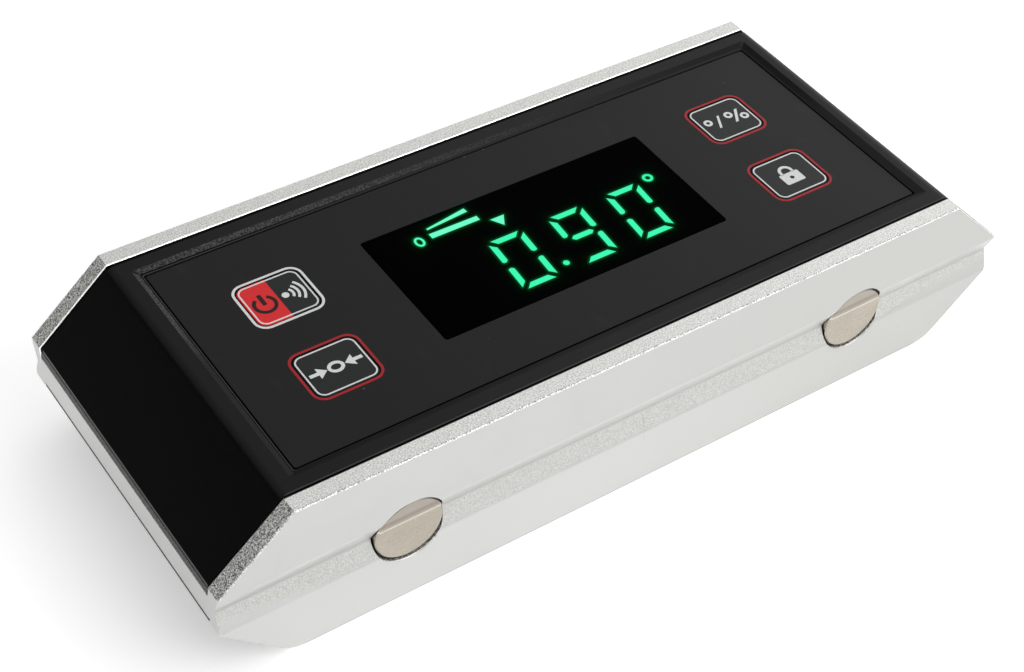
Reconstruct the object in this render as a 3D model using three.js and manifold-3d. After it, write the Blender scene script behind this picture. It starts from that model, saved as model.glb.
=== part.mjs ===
// Digital angle gauge: an eight-sided aluminium frame with grooved, magnetic edges,
// closed in front by a key and display housing and behind by a back cover with a battery door.
// Millimetres. X runs along the gauge, Y across it and Z out of the display.
// The origin is the middle of the back, on the surface that the gauge lies on.
import * as THREE from 'three';
import { mergeVertices, toCreasedNormals } from 'three/addons/utils/BufferGeometryUtils.js';
import Module from 'manifold-3d';

const wasm = await Module();
wasm.setup();

// Frame: overall size and the four corner slopes of its side outline
const frameLength = 150;
const frameWidth = 60;
const frameHeight = 31;
const upperSlopeRun = 12.2;
const upperSlopeRise = 11.6;
const lowerSlopeRun = 11.4;
const lowerSlopeRise = 11.4;
const footCornerRadius = 2.4;
const railWall = 3.1;
const railEdgeBevel = 0.25;

// Frame: end bars between the two rails
const endBarBottomRise = 0.85;
const endBarTopDrop = 0.8;
const endBarThickness = 3.2;
const endBarBevelRun = 0.2;
const endBarBevelRise = 1.1;
const endBarRoot = 1;

// Frame: the groove along each long edge
const grooveHeight = 7.6;
const grooveDepth = 1.4;

// Frame: lugs that both housings are screwed to
const lugThickness = 3;
const lugRadius = 3.4;
const lugHoleRadius = 1.6;

// Magnets and their pockets
const magnetEndOffset = 31.5;
const magnetRadius = 5.9;
const magnetThickness = 3;
const magnetEdgeBevel = 0.3;
const magnetRecess = 0.3;
const magnetPocketRadius = 6.15;
const magnetPocketBevel = 0.2;
const magnetBedGap = 0.1;
const magnetPadRadius = 8;
const magnetPadReach = 1.9;
const magnetDrop = 0.45;

// Clearances
const seatGap = 0.1;
const railGap = 0.25;
const overrun = 1;

// Front housing
const housingTopInset = 0.15;
const housingSlopeInset = 0.1;
const housingWall = 2.2;
const panelThickness = 3.25;
const housingEndInset = 0.25;
const housingCrestRadius = 1;
const skirtWall = 1.6;
const skirtDepth = 3.4;
const lipThickness = 1.5;
const lipDepth = 2.2;
const recessEndBorder = 3.6;
const recessSideBorder = 3.75;
const recessRadius = 0.35;
const recessDepth = 0.65;
const recessBevel = 1.3;
const recessCentreX = 0.4;
const postRadius = 2.8;
const postPilotRadius = 1.35;
const postPilotDepth = 9;

// Printed overlay
const overlaySideGap = 0.3;
const overlayRadius = 0.5;
const overlayThickness = 0.35;

// Display lens and window
const lensEndInset = 32.15;
const lensSideInset = 10.6;
const lensRadius = 0.4;
const lensThickness = 1.2;
const lensCentreX = 0.6;
const lensCentreY = 0.25;
const lensSideGap = 0.15;
const lensLedge = 0.8;

// Keys
const keyLength = 10.7;
const keyWidth = 9.2;
const keyRadius = 1.6;
const keyPlateThickness = 0.8;
const keyGap = 0.15;
const keyTravel = 0.3;
const keyTravelSpare = 0.2;
const keyEndOffset = 15.35;
const keySpacingY = 17;
const keyStemRadius = 1.6;
const keyStemGap = 0.3;

// Circuit board and what it carries
const boardEdgeGap = 1;
const boardThickness = 1.6;
const boardRadius = 1.5;
const boardDrop = 5.6;
const boardBossRadius = 2.4;
const boardBossInset = 2.1;
const displayEndGap = 0.5;
const displaySideGap = 0.2;
const displayRadius = 0.4;
const displayLensGap = 0.35;
const switchBodySize = 6;
const switchBodyHeight = 3.5;
const switchBoreDepth = 1.2;
const switchBoreGap = 0.2;
const plungerRadius = 1.7;
const plungerSink = 0.7;
const processorSize = 7;
const processorHeight = 1.4;
const processorInset = 17;
const sensorSize = 5;
const sensorHeight = 1.2;
const sensorInset = 19;
const chipBevel = 0.3;
const buzzerRadius = 6;
const buzzerHeight = 4.6;
const buzzerHoleRadius = 1;
const buzzerHoleDepth = 1;
const buzzerInset = 9.7;
const coilRadius = 3.1;
const coilWaistRadius = 2.3;
const coilFlange = 0.5;
const coilHeight = 2.8;
const coilInset = 8.5;
const coilY = 5.5;
const capacitorRadius = 2.5;
const capacitorHeight = 5.2;
const capacitorBaseHeight = 0.6;
const capacitorInset = 8.5;
const capacitorY = -6;

// Back cover
const coverFaceInset = 0.4;
const coverSlopeInset = 0.05;
const coverEndInset = 0.05;
const coverWall = 2;
const coverFloor = 2.2;
const coverSkirtHeight = 3.4;
const sleeveRadius = 3.3;
const counterboreRadius = 2.6;
const counterboreDepth = 6.6;
const sleeveHoleRadius = 1.5;

// Housing screws and board screws
const screwEndOffset = 19;
const screwWallOffset = 6.1;
const screwRadius = 1.2;
const screwHeadRadius = 2.3;
const screwHeadHeight = 1.8;
const screwLength = 15;
const screwSlotWidth = 0.7;
const screwSlotLength = 2.6;
const screwSlotDepth = 0.8;
const boardScrewRadius = 0.9;
const boardScrewHeadRadius = 1.8;
const boardScrewHeadHeight = 1.2;
const boardScrewLength = 5;
const boardHoleGap = 0.25;
const pilotGap = 0.12;

// Battery bay, in the back cover
const bayWall = 1.6;
const bayShelf = 1.5;

// Battery door
const doorGap = 0.2;
const doorThickness = 1.35;
const doorFaceInset = 0.45;
const doorCornerRadius = 0.6;
const doorTabReach = 1.5;
const doorTabWidth = 3.2;
const doorTabSpacing = 15;
const doorTabThickness = 0.9;
const doorTabArm = 1.1;
const doorSlotSpare = 0.7;
const latchWidth = 6;
const latchThickness = 0.7;
const latchHeight = 2.2;
const latchNose = 0.6;
const latchNoseHeight = 0.8;
const latchSwing = 0.5;
const thumbScoopRadius = 4;
const thumbScoopDepth = 0.8;
const gripRibCount = 4;
const gripRibWidth = 0.6;
const gripRibPitch = 1.6;
const gripRibLength = 9;
const gripRibHeight = 0.2;

// Battery cells, contacts, springs and leads
const cellRadius = 5.2;
const cellLength = 43.7;
const cellNubRadius = 1.9;
const cellNubLength = 0.8;
const cellEdgeRadius = 0.5;
const cellPitch = 11;
const cellCeilingGap = 0.4;
const cellDoorGap = 0.5;
const cellSideGap = 0.7;
const contactThickness = 0.4;
const contactWidth = 8.4;
const contactDrop = 3;
const contactRise = 4;
const contactTailWidth = 2;
const contactTailReach = 1.5;
const contactSlotGap = 0.25;
const springWireRadius = 0.35;
const springTurns = 4;
const springLength = 4.7;
const springBaseRadius = 3.4;
const springTipRadius = 2.1;
const leadRadius = 0.5;
const leadTailInset = 0.6;
const leadSidestep = 2;

// Facet counts
const fineSides = 36;
const roundSides = 20;
const smallSides = 12;
const wireSides = 6;
const springSides = 5;
const springStepsPerTurn = 9;
const leadSteps = 8;
const cornerSteps = 3;
const creaseAngle = Math.PI / 6;

// Sizes worked out from the ones above
const endX = frameLength / 2;
const sideY = frameWidth / 2;
const middleZ = frameHeight / 2;
const insideY = sideY - railWall;
const endBarBottom = lowerSlopeRise + endBarBottomRise;
const endBarTop = frameHeight - upperSlopeRise - endBarTopDrop;
const magnetX = endX - magnetEndOffset;
const magnetZ = middleZ - magnetDrop;
const screwX = endX - screwEndOffset;
const screwY = insideY - screwWallOffset;
const housingSideY = insideY - railGap;
const housingTop = frameHeight - housingTopInset;
const overlayTop = housingTop - recessDepth;
const overlaySeat = overlayTop - overlayThickness - seatGap / 2;
const crestX = -upperSlope(housingSlopeInset).x(housingTop);
const recessEndX = crestX - recessEndBorder;
const recessSideY = housingSideY - recessSideBorder;
const lensLength = 2 * (recessEndX - lensEndInset);
const lensWidth = 2 * (recessSideY - lensSideInset);
const windowLength = lensLength - 2 * lensLedge;
const windowWidth = lensWidth - 2 * lensLedge;
const displayLength = windowLength - 2 * displayEndGap;
const displayWidth = windowWidth - 2 * displaySideGap;
const panelUnderside = housingTop - panelThickness;
const lensBottom = overlayTop - lensThickness;
const lensSeat = lensBottom - seatGap / 2;
const keyBottom = overlayTop - keyPlateThickness;
const keyPocketFloor = keyBottom - keyTravel - keyTravelSpare;
const boardTop = panelUnderside - boardDrop;
const boardEndX = screwX - postRadius - boardEdgeGap;
const boardSideY = screwY - postRadius - boardEdgeGap;
const boardBottom = boardTop - boardThickness;
const switchTop = boardTop + seatGap + switchBodyHeight;
const plungerBottom = switchTop - plungerSink;
const plungerTop = panelUnderside - keyTravel - keyTravelSpare;
const lugBottom = endBarBottom;
const lugTop = lugBottom + lugThickness;
const coverFace = coverFaceInset;
const coverInside = coverFace + coverFloor;
const sleeveTop = lugBottom - seatGap;
const counterboreTop = coverFace + counterboreDepth;
const bayHalfLength = (cellLength + cellNubLength + springLength) / 2 + contactThickness + 2 * seatGap;
const bayHalfWidth = cellPitch / 2 + cellRadius + cellSideGap;
const rebateHalfLength = bayHalfLength + bayShelf;
const rebateHalfWidth = bayHalfWidth + bayShelf;
const doorHalfLength = rebateHalfLength - doorGap;
const doorHalfWidth = rebateHalfWidth - doorGap;
const doorFace = doorFaceInset;
const doorTop = doorFace + doorThickness;
const shelfZ = doorTop + seatGap;
const cellZ = doorTop + cellDoorGap + cellRadius;
const bayCeiling = cellZ + cellRadius + cellCeilingGap;
const contactX = bayHalfLength - seatGap - contactThickness / 2;
const contactLow = cellZ - contactDrop;
const contactTop = cellZ + contactRise;
const contactTailZ = contactTop - contactThickness / 2;

// A closed three.js geometry as a solid that can be joined and cut
function solid(geometry) {
  const plain = geometry.clone();
  plain.deleteAttribute('normal');
  plain.deleteAttribute('uv');
  const merged = mergeVertices(plain);
  const corners = merged.getAttribute('position').array;
  return new wasm.Manifold(new wasm.Mesh({
    numProp: 3,
    vertProperties: new Float32Array(corners),
    triVerts: new Uint32Array(merged.getIndex().array),
  }));
}

// A solid back as a three.js geometry
function surface(body) {
  const mesh = body.getMesh();
  const geometry = new THREE.BufferGeometry();
  geometry.setAttribute('position', new THREE.BufferAttribute(mesh.vertProperties, 3));
  geometry.setIndex(new THREE.BufferAttribute(mesh.triVerts, 1));
  return toCreasedNormals(geometry, creaseAngle);
}

function join(...bodies) {
  return bodies.reduce((whole, body) => whole.add(body));
}

function cut(body, ...tools) {
  return tools.reduce((left, tool) => left.subtract(tool), body);
}

function block(x0, x1, y0, y1, z0, z1) {
  const geometry = new THREE.BoxGeometry(x1 - x0, y1 - y0, z1 - z0);
  return solid(geometry.translate((x0 + x1) / 2, (y0 + y1) / 2, (z0 + z1) / 2));
}

function upright(radius, x, y, z0, z1, sides = roundSides) {
  const geometry = new THREE.CylinderGeometry(radius, radius, z1 - z0, sides);
  return solid(geometry.rotateX(Math.PI / 2).translate(x, y, (z0 + z1) / 2));
}

// A rectangle with round corners, centred on its own middle
function roundedRectangle(length, width, radius) {
  const x = length / 2;
  const y = width / 2;
  const shape = new THREE.Shape();
  shape.moveTo(radius - x, -y);
  shape.lineTo(x - radius, -y);
  shape.absarc(x - radius, radius - y, radius, -Math.PI / 2, 0, false);
  shape.lineTo(x, y - radius);
  shape.absarc(x - radius, y - radius, radius, 0, Math.PI / 2, false);
  shape.lineTo(radius - x, y);
  shape.absarc(radius - x, y - radius, radius, Math.PI / 2, Math.PI, false);
  shape.lineTo(-x, radius - y);
  shape.absarc(radius - x, radius - y, radius, Math.PI, 1.5 * Math.PI, false);
  return shape;
}

// An outline through corner points [a, b, radius], each corner rounded by its radius
function outline(corners) {
  const shape = new THREE.Shape();
  corners.forEach(([a, b, radius = 0], i) => {
    const here = new THREE.Vector2(a, b);
    const last = corners[(i + corners.length - 1) % corners.length];
    const next = corners[(i + 1) % corners.length];
    const inward = new THREE.Vector2(last[0], last[1]).sub(here).setLength(radius).add(here);
    const outward = new THREE.Vector2(next[0], next[1]).sub(here).setLength(radius).add(here);
    if (i === 0) shape.moveTo(inward.x, inward.y);
    else shape.lineTo(inward.x, inward.y);
    if (radius > 0) shape.quadraticCurveTo(a, b, outward.x, outward.y);
  });
  shape.closePath();
  return shape;
}

// A half outline, listed from the middle line outwards and back, and its mirror image
function mirrored(corners) {
  return [...corners, ...corners.map(([a, b, radius]) => [-a, b, radius]).reverse()];
}

// A plate between two heights
function plate(shape, x, y, z0, z1) {
  const options = { depth: z1 - z0, bevelEnabled: false, curveSegments: cornerSteps };
  return solid(new THREE.ExtrudeGeometry(shape, options).translate(x, y, z0));
}

// A side outline in X and Z, carried across from y0 to y1, with its edges bevelled if asked
function across(shape, y0, y1, bevel = 0) {
  const geometry = new THREE.ExtrudeGeometry(shape, {
    depth: y1 - y0 - 2 * bevel,
    bevelEnabled: bevel > 0,
    bevelThickness: bevel,
    bevelSize: bevel,
    bevelOffset: -bevel,
    bevelSegments: 1,
    curveSegments: cornerSteps,
  });
  return solid(geometry.rotateX(Math.PI / 2).translate(0, y1 - bevel, 0));
}

// A cross-section in Y and Z, carried along from x0 to x1
function along(shape, x0, x1) {
  const geometry = new THREE.ExtrudeGeometry(shape, { depth: x1 - x0, bevelEnabled: false });
  const turn = new THREE.Matrix4().makeBasis(
    new THREE.Vector3(0, 1, 0),
    new THREE.Vector3(0, 0, 1),
    new THREE.Vector3(1, 0, 0),
  );
  return solid(geometry.applyMatrix4(turn).translate(x0, 0, 0));
}

// A turned piece: a closed profile of [radius, height] points, spun about Z
function turned(profile, sides) {
  const points = profile.map(([radius, height]) => new THREE.Vector2(radius, height));
  return new THREE.LatheGeometry(points, sides).rotateX(Math.PI / 2);
}

// The line of a corner slope, moved into the body by an inset
function slopeLine(startX, startZ, run, rise, inset) {
  const length = Math.hypot(run, rise);
  const side = Math.sign(rise);
  const x0 = startX + inset * Math.abs(rise) / length;
  const z0 = startZ - inset * side * run / length;
  return {
    x: (z) => x0 + (z - z0) * run / rise,
    z: (x) => z0 + (x - x0) * rise / run,
  };
}

function upperSlope(inset) {
  return slopeLine(-endX, frameHeight - upperSlopeRise, upperSlopeRun, upperSlopeRise, inset);
}

function lowerSlope(inset) {
  return slopeLine(-endX, lowerSlopeRise, lowerSlopeRun, -lowerSlopeRise, inset);
}

// Places that repeat
const signs = [-1, 1];
const screwPlaces = [-1, 0, 1].flatMap((i) => signs.map((j) => [
  i * screwX,
  j * screwY,
]));
const boardBossPlaces = signs.flatMap((i) => signs.map((j) => [
  i * (boardEndX - boardBossInset),
  j * (boardSideY - boardBossInset),
]));
const keyPlaces = [
  ['power', -1, 1],
  ['tare', -1, -1],
  ['units', 1, 1],
  ['freeze', 1, -1],
].map(([name, i, j]) => ({
  name,
  x: recessCentreX + i * (recessEndX - keyEndOffset),
  y: j * keySpacingY / 2,
}));

// Materials
function finish(colour, roughness, metalness) {
  return new THREE.MeshStandardMaterial({ color: colour, roughness, metalness });
}
const aluminium = finish(0xd2d2d0, 0.45, 1);
const blackPlastic = finish(0x18181a, 0.5, 0);
const overlayFilm = finish(0x2a2a2c, 0.4, 0);
const smokedAcrylic = finish(0x050505, 0.1, 0);
const keyFilm = finish(0x26292a, 0.45, 0);
const nickel = finish(0xb9af9f, 0.2, 1);
const steel = finish(0x9a9a9c, 0.35, 1);
const displayPlastic = finish(0x1c1c1c, 0.6, 0);
const boardGreen = finish(0x14502c, 0.55, 0);
const chipBlack = finish(0x202020, 0.6, 0);
const whiteNylon = finish(0xd8d4c8, 0.5, 0);
const copper = finish(0xb87333, 0.35, 1);
const cellJacket = finish(0x4a6f3c, 0.4, 0.2);
const redLead = finish(0xb02020, 0.5, 0);
const blackLead = finish(0x151515, 0.5, 0);

const gauge = new THREE.Group();

function add(name, geometry, material, parent = gauge) {
  const mesh = new THREE.Mesh(geometry, material);
  mesh.name = name;
  parent.add(mesh);
  return mesh;
}

// Frame, one casting: two eight-sided rails, two end bars, screw lugs and magnet pads
function frame() {
  const railShape = outline(mirrored([
    [upperSlopeRun - endX, frameHeight],
    [-endX, frameHeight - upperSlopeRise],
    [-endX, lowerSlopeRise],
    [lowerSlopeRun - endX, 0, footCornerRadius],
  ]));
  const endBarShape = outline([
    [-endX, endBarBottom],
    [endBarThickness - endX, endBarBottom],
    [endBarThickness - endX, endBarTop],
    [endBarBevelRun - endX, endBarTop],
    [-endX, endBarTop - endBarBevelRise],
  ]);
  const endBar = across(endBarShape, -insideY - endBarRoot, insideY + endBarRoot);
  const pieces = [endBar, endBar.mirror([1, 0, 0])];
  const cuts = [];
  for (const side of signs) {
    const [y0, y1] = side < 0 ? [-sideY, -insideY] : [insideY, sideY];
    pieces.push(across(railShape, y0, y1, railEdgeBevel));
    const groove = outline([
      [side * (sideY + overrun), middleZ - grooveHeight / 2 * (1 + overrun / grooveDepth)],
      [side * (sideY + overrun), middleZ + grooveHeight / 2 * (1 + overrun / grooveDepth)],
      [side * (sideY - grooveDepth), middleZ],
    ].sort((p, q) => side * (q[1] - p[1])));
    cuts.push(along(groove, -endX - overrun, endX + overrun));
    for (const end of signs) {
      const x = end * magnetX;
      pieces.push(magnetPad(x, side));
      cuts.push(magnetPocket(x, side));
    }
  }
  for (const [x, y] of screwPlaces) {
    const wallY = Math.sign(y) * (insideY + endBarRoot);
    const [y0, y1] = y < 0 ? [wallY, y] : [y, wallY];
    pieces.push(block(x - lugRadius, x + lugRadius, y0, y1, lugBottom, lugTop));
    pieces.push(upright(lugRadius, x, y, lugBottom, lugTop));
    cuts.push(upright(lugHoleRadius, x, y, lugBottom - overrun, lugTop + overrun));
  }
  return surface(cut(join(...pieces), ...cuts));
}

// The pad behind a magnet pocket, standing in from the rail's inner wall
function magnetPad(x, side) {
  const reach = magnetPadReach + endBarRoot;
  const pad = new THREE.CylinderGeometry(magnetPadRadius, magnetPadRadius, reach, roundSides);
  return solid(pad.translate(x, side * (insideY - magnetPadReach + reach / 2), magnetZ));
}

// The blind hole that a magnet sits in, with a fine bevel round its mouth
function magnetPocket(x, side) {
  const depth = magnetRecess + magnetThickness + magnetBedGap;
  const hole = new THREE.LatheGeometry([
    new THREE.Vector2(0, -depth),
    new THREE.Vector2(magnetPocketRadius, -depth),
    new THREE.Vector2(magnetPocketRadius, -magnetPocketBevel),
    new THREE.Vector2(magnetPocketRadius + magnetPocketBevel, 0),
    new THREE.Vector2(magnetPocketRadius + magnetPocketBevel, overrun),
    new THREE.Vector2(0, overrun),
  ], fineSides);
  if (side < 0) hole.rotateX(Math.PI);
  return solid(hole.translate(x, side * sideY, magnetZ));
}

// A magnet disc with bevelled edges, its face a little below the edge of the frame
function magnets() {
  const t = magnetThickness;
  const disc = turned([
    [0, 0],
    [magnetRadius - magnetEdgeBevel, 0],
    [magnetRadius, magnetEdgeBevel],
    [magnetRadius, t - magnetEdgeBevel],
    [magnetRadius - magnetEdgeBevel, t],
    [0, t],
  ], fineSides);
  for (const side of signs) {
    for (const end of signs) {
      const name = `magnet_${side < 0 ? 'near' : 'far'}_${end < 0 ? 'left' : 'right'}`;
      const magnet = add(name, disc, nickel);
      magnet.rotation.x = side < 0 ? Math.PI / 2 : -Math.PI / 2;
      const face = side * (sideY - magnetRecess);
      magnet.position.set(end * magnetX, face - side * t, magnetZ);
    }
  }
}

// Front housing: a shell with sloped ends, a bevelled recess, posts and bosses inside
function frontHousing() {
  const outer = upperSlope(housingSlopeInset);
  const inner = upperSlope(housingSlopeInset + housingWall);
  const foot = endBarTop + seatGap;
  const tipX = housingEndInset - endX;
  const shellShape = outline(mirrored([
    [outer.x(housingTop), housingTop, housingCrestRadius],
    [tipX, outer.z(tipX)],
    [tipX, foot],
    [inner.x(foot), foot],
    [inner.x(panelUnderside), panelUnderside],
  ]));
  const skirtBottom = panelUnderside - skirtDepth;
  const skirtShape = outline(mirrored([
    [inner.x(panelUnderside) - seatGap, panelUnderside + seatGap],
    [inner.x(skirtBottom) - seatGap, skirtBottom],
  ]));
  const pieces = [across(shellShape, -housingSideY, housingSideY)];
  pieces.push(across(skirtShape, -housingSideY, skirtWall - housingSideY));
  pieces.push(across(skirtShape, housingSideY - skirtWall, housingSideY));
  for (const end of signs) pieces.push(housingLip(end, foot));
  for (const [x, y] of screwPlaces) {
    pieces.push(upright(postRadius, x, y, lugTop + seatGap, panelUnderside + seatGap));
  }
  for (const [x, y] of boardBossPlaces) {
    pieces.push(upright(boardBossRadius, x, y, boardTop + seatGap, panelUnderside + seatGap));
  }
  return surface(cut(join(...pieces), ...housingCuts(), ...padClearances()));
}

// Scallops that keep a housing's skirts clear of the frame's magnet pads
function padClearances() {
  return signs.flatMap((side) => signs.map((end) => {
    const radius = magnetPadRadius + railGap;
    const reach = magnetPadReach + railGap;
    const round = new THREE.CylinderGeometry(radius, radius, reach, roundSides);
    return solid(round.translate(end * magnetX, side * (insideY - reach / 2), magnetZ));
  }));
}

// The lip that locates the housing behind an end bar of the frame
function housingLip(end, foot) {
  const outside = endX - endBarThickness - railGap;
  const inner = upperSlope(housingSlopeInset + housingWall);
  const top = inner.z(lipThickness - outside);
  const shape = outline([
    [-outside, foot - lipDepth],
    [lipThickness - outside, foot - lipDepth],
    [lipThickness - outside, top + seatGap],
    [-outside, inner.z(-outside) + seatGap],
  ]);
  const lip = across(shape, skirtWall - housingSideY, housingSideY - skirtWall);
  return end < 0 ? lip : lip.mirror([1, 0, 0]);
}

function housingCuts() {
  const above = housingTop + overrun;
  const below = panelUnderside - overrun;
  const recess = roundedRectangle(2 * recessEndX, 2 * recessSideY, recessRadius);
  const mouth = roundedRectangle(
    2 * (recessEndX + recessBevel),
    2 * (recessSideY + recessBevel),
    recessRadius,
  );
  const bevelled = wasm.Manifold.hull([
    plate(recess, recessCentreX, 0, overlayTop, above),
    plate(mouth, recessCentreX, 0, housingTop, above),
  ]);
  const cuts = [bevelled, plate(recess, recessCentreX, 0, overlaySeat, above)];
  const seatShape = roundedRectangle(
    lensLength + 2 * lensSideGap,
    lensWidth + 2 * lensSideGap,
    lensRadius + lensSideGap,
  );
  cuts.push(plate(seatShape, lensCentreX, lensCentreY, lensSeat, above));
  const windowShape = roundedRectangle(
    windowLength,
    windowWidth,
    lensRadius,
  );
  cuts.push(plate(windowShape, lensCentreX, lensCentreY, below, above));
  const pocketShape = keyOpening();
  for (const { x, y } of keyPlaces) {
    cuts.push(plate(pocketShape, x, y, keyPocketFloor, above));
    cuts.push(upright(keyStemRadius + keyStemGap, x, y, below, above, smallSides));
  }
  for (const [x, y] of screwPlaces) {
    const foot = lugTop + seatGap;
    cuts.push(upright(postPilotRadius, x, y, foot - overrun, foot + postPilotDepth, smallSides));
  }
  for (const [x, y] of boardBossPlaces) {
    const pilotTop = boardTop + boardScrewLength - boardThickness + seatGap;
    const radius = boardScrewRadius + pilotGap;
    cuts.push(upright(radius, x, y, boardTop - overrun, pilotTop, smallSides));
  }
  return cuts;
}

function keyOpening() {
  return roundedRectangle(keyLength + 2 * keyGap, keyWidth + 2 * keyGap, keyRadius + keyGap);
}

// Printed overlay: a thin film with openings for the lens and the four keys
function keyOverlay() {
  const bottom = overlayTop - overlayThickness;
  const filmShape = roundedRectangle(
    2 * (recessEndX - overlaySideGap),
    2 * (recessSideY - overlaySideGap),
    overlayRadius,
  );
  const film = plate(filmShape, recessCentreX, 0, bottom, overlayTop);
  const openings = keyPlaces.map(({ x, y }) => (
    plate(keyOpening(), x, y, bottom - overrun, overlayTop + overrun)
  ));
  const lensShape = roundedRectangle(
    lensLength + 2 * lensSideGap,
    lensWidth + 2 * lensSideGap,
    lensRadius + lensSideGap,
  );
  const lensOpening = plate(
    lensShape, lensCentreX, lensCentreY, bottom - overrun, overlayTop + overrun,
  );
  return surface(cut(film, lensOpening, ...openings));
}

function displayLens() {
  const shape = roundedRectangle(lensLength, lensWidth, lensRadius);
  return surface(plate(shape, lensCentreX, lensCentreY, lensBottom, overlayTop));
}

// Light-emitting display module, standing on the board and looking up through the window
function ledDisplay() {
  const shape = roundedRectangle(displayLength, displayWidth, displayRadius);
  const top = lensBottom - displayLensGap;
  return surface(plate(shape, lensCentreX, lensCentreY, boardTop + seatGap, top));
}

// A key with its stem, the switch body under it and the switch's moving plunger
function keys() {
  for (const { name, x, y } of keyPlaces) {
    const station = new THREE.Group();
    station.position.set(x, y, 0);
    gauge.add(station);
    add(`${name}_key`, keyCap(), keyFilm, station);
    add(`${name}_switch_body`, switchBody(), chipBlack, station);
    add(`${name}_switch_plunger`, switchPlunger(), whiteNylon, station);
  }
}

function keyCap() {
  const shape = roundedRectangle(keyLength, keyWidth, keyRadius);
  const cap = plate(shape, 0, 0, keyBottom, overlayTop);
  const stem = upright(keyStemRadius, 0, 0, plungerTop, overlayTop - seatGap, smallSides);
  return surface(join(cap, stem));
}

function switchBody() {
  const half = switchBodySize / 2;
  const body = block(-half, half, -half, half, boardTop + seatGap, switchTop);
  const bore = upright(
    plungerRadius + switchBoreGap, 0, 0, switchTop - switchBoreDepth, switchTop + overrun, smallSides,
  );
  return surface(cut(body, bore));
}

function switchPlunger() {
  return surface(upright(plungerRadius, 0, 0, plungerBottom, plungerTop - seatGap / 2, smallSides));
}

// Circuit board with its four screw holes
function mainBoard() {
  const shape = roundedRectangle(2 * boardEndX, 2 * boardSideY, boardRadius);
  const board = plate(shape, 0, 0, boardBottom, boardTop);
  const holes = boardBossPlaces.map(([x, y]) => upright(
    boardScrewRadius + boardHoleGap, x, y, boardBottom - overrun, boardTop + overrun, smallSides,
  ));
  return surface(cut(board, ...holes));
}

// A chip hung under the board, with a bevelled top as moulded
function chip(size, height, x) {
  const shape = roundedRectangle(size - 2 * chipBevel, size - 2 * chipBevel, chipBevel);
  const geometry = new THREE.ExtrudeGeometry(shape, {
    depth: height - 2 * chipBevel,
    bevelEnabled: true,
    bevelThickness: chipBevel,
    bevelSize: chipBevel,
    bevelSegments: 1,
    curveSegments: 1,
  });
  const z = boardBottom - seatGap - height + chipBevel;
  return surface(solid(geometry.translate(x, 0, z)));
}

function buzzer() {
  const hang = boardBottom - seatGap;
  const x = buzzerInset - boardEndX;
  const can = upright(buzzerRadius, x, 0, hang - buzzerHeight, hang);
  const hole = upright(
    buzzerHoleRadius, x, 0,
    hang - buzzerHeight - overrun, hang - buzzerHeight + buzzerHoleDepth, smallSides,
  );
  return surface(cut(can, hole));
}

// Drum coil of the supply that lifts the battery voltage for the display
function boostCoil() {
  return turned([
    [0, -coilHeight],
    [coilRadius, -coilHeight],
    [coilRadius, coilFlange - coilHeight],
    [coilWaistRadius, coilFlange - coilHeight],
    [coilWaistRadius, -coilFlange],
    [coilRadius, -coilFlange],
    [coilRadius, 0],
    [0, 0],
  ], roundSides).translate(boardEndX - coilInset, coilY, boardBottom - seatGap);
}

function smoothingCapacitor() {
  const hang = boardBottom - seatGap;
  const half = capacitorRadius;
  const x = boardEndX - capacitorInset;
  const can = upright(capacitorRadius, x, capacitorY, hang - capacitorHeight, hang);
  const foot = block(
    x - half, x + half,
    capacitorY - half, capacitorY + half,
    hang - capacitorBaseHeight, hang,
  );
  return surface(join(can, foot));
}

// A pan-head screw, head down and shank up from the origin, with a cross slot in its head
function screw(radius, length, headRadius, headHeight) {
  const shank = upright(radius, 0, 0, -seatGap, length, smallSides);
  const head = upright(headRadius, 0, 0, -headHeight, 0, roundSides);
  const share = headRadius / screwHeadRadius;
  const half = screwSlotWidth / 2 * share;
  const reach = screwSlotLength / 2 * share;
  const floor = screwSlotDepth * share - headHeight;
  const slot = block(-reach, reach, -half, half, -headHeight - overrun, floor);
  const cross = block(-half, half, -reach, reach, -headHeight - overrun, floor);
  return surface(cut(join(shank, head), slot, cross));
}

function screws() {
  const housingScrew = screw(screwRadius, screwLength, screwHeadRadius, screwHeadHeight);
  screwPlaces.forEach(([x, y], i) => {
    const placed = add(`housing_screw_${i + 1}`, housingScrew, steel);
    placed.position.set(x, y, counterboreTop - seatGap);
  });
  const boardScrew = screw(
    boardScrewRadius, boardScrewLength, boardScrewHeadRadius, boardScrewHeadHeight,
  );
  boardBossPlaces.forEach(([x, y], i) => {
    const placed = add(`board_screw_${i + 1}`, boardScrew, steel);
    placed.position.set(x, y, boardBottom - seatGap);
  });
}

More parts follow.
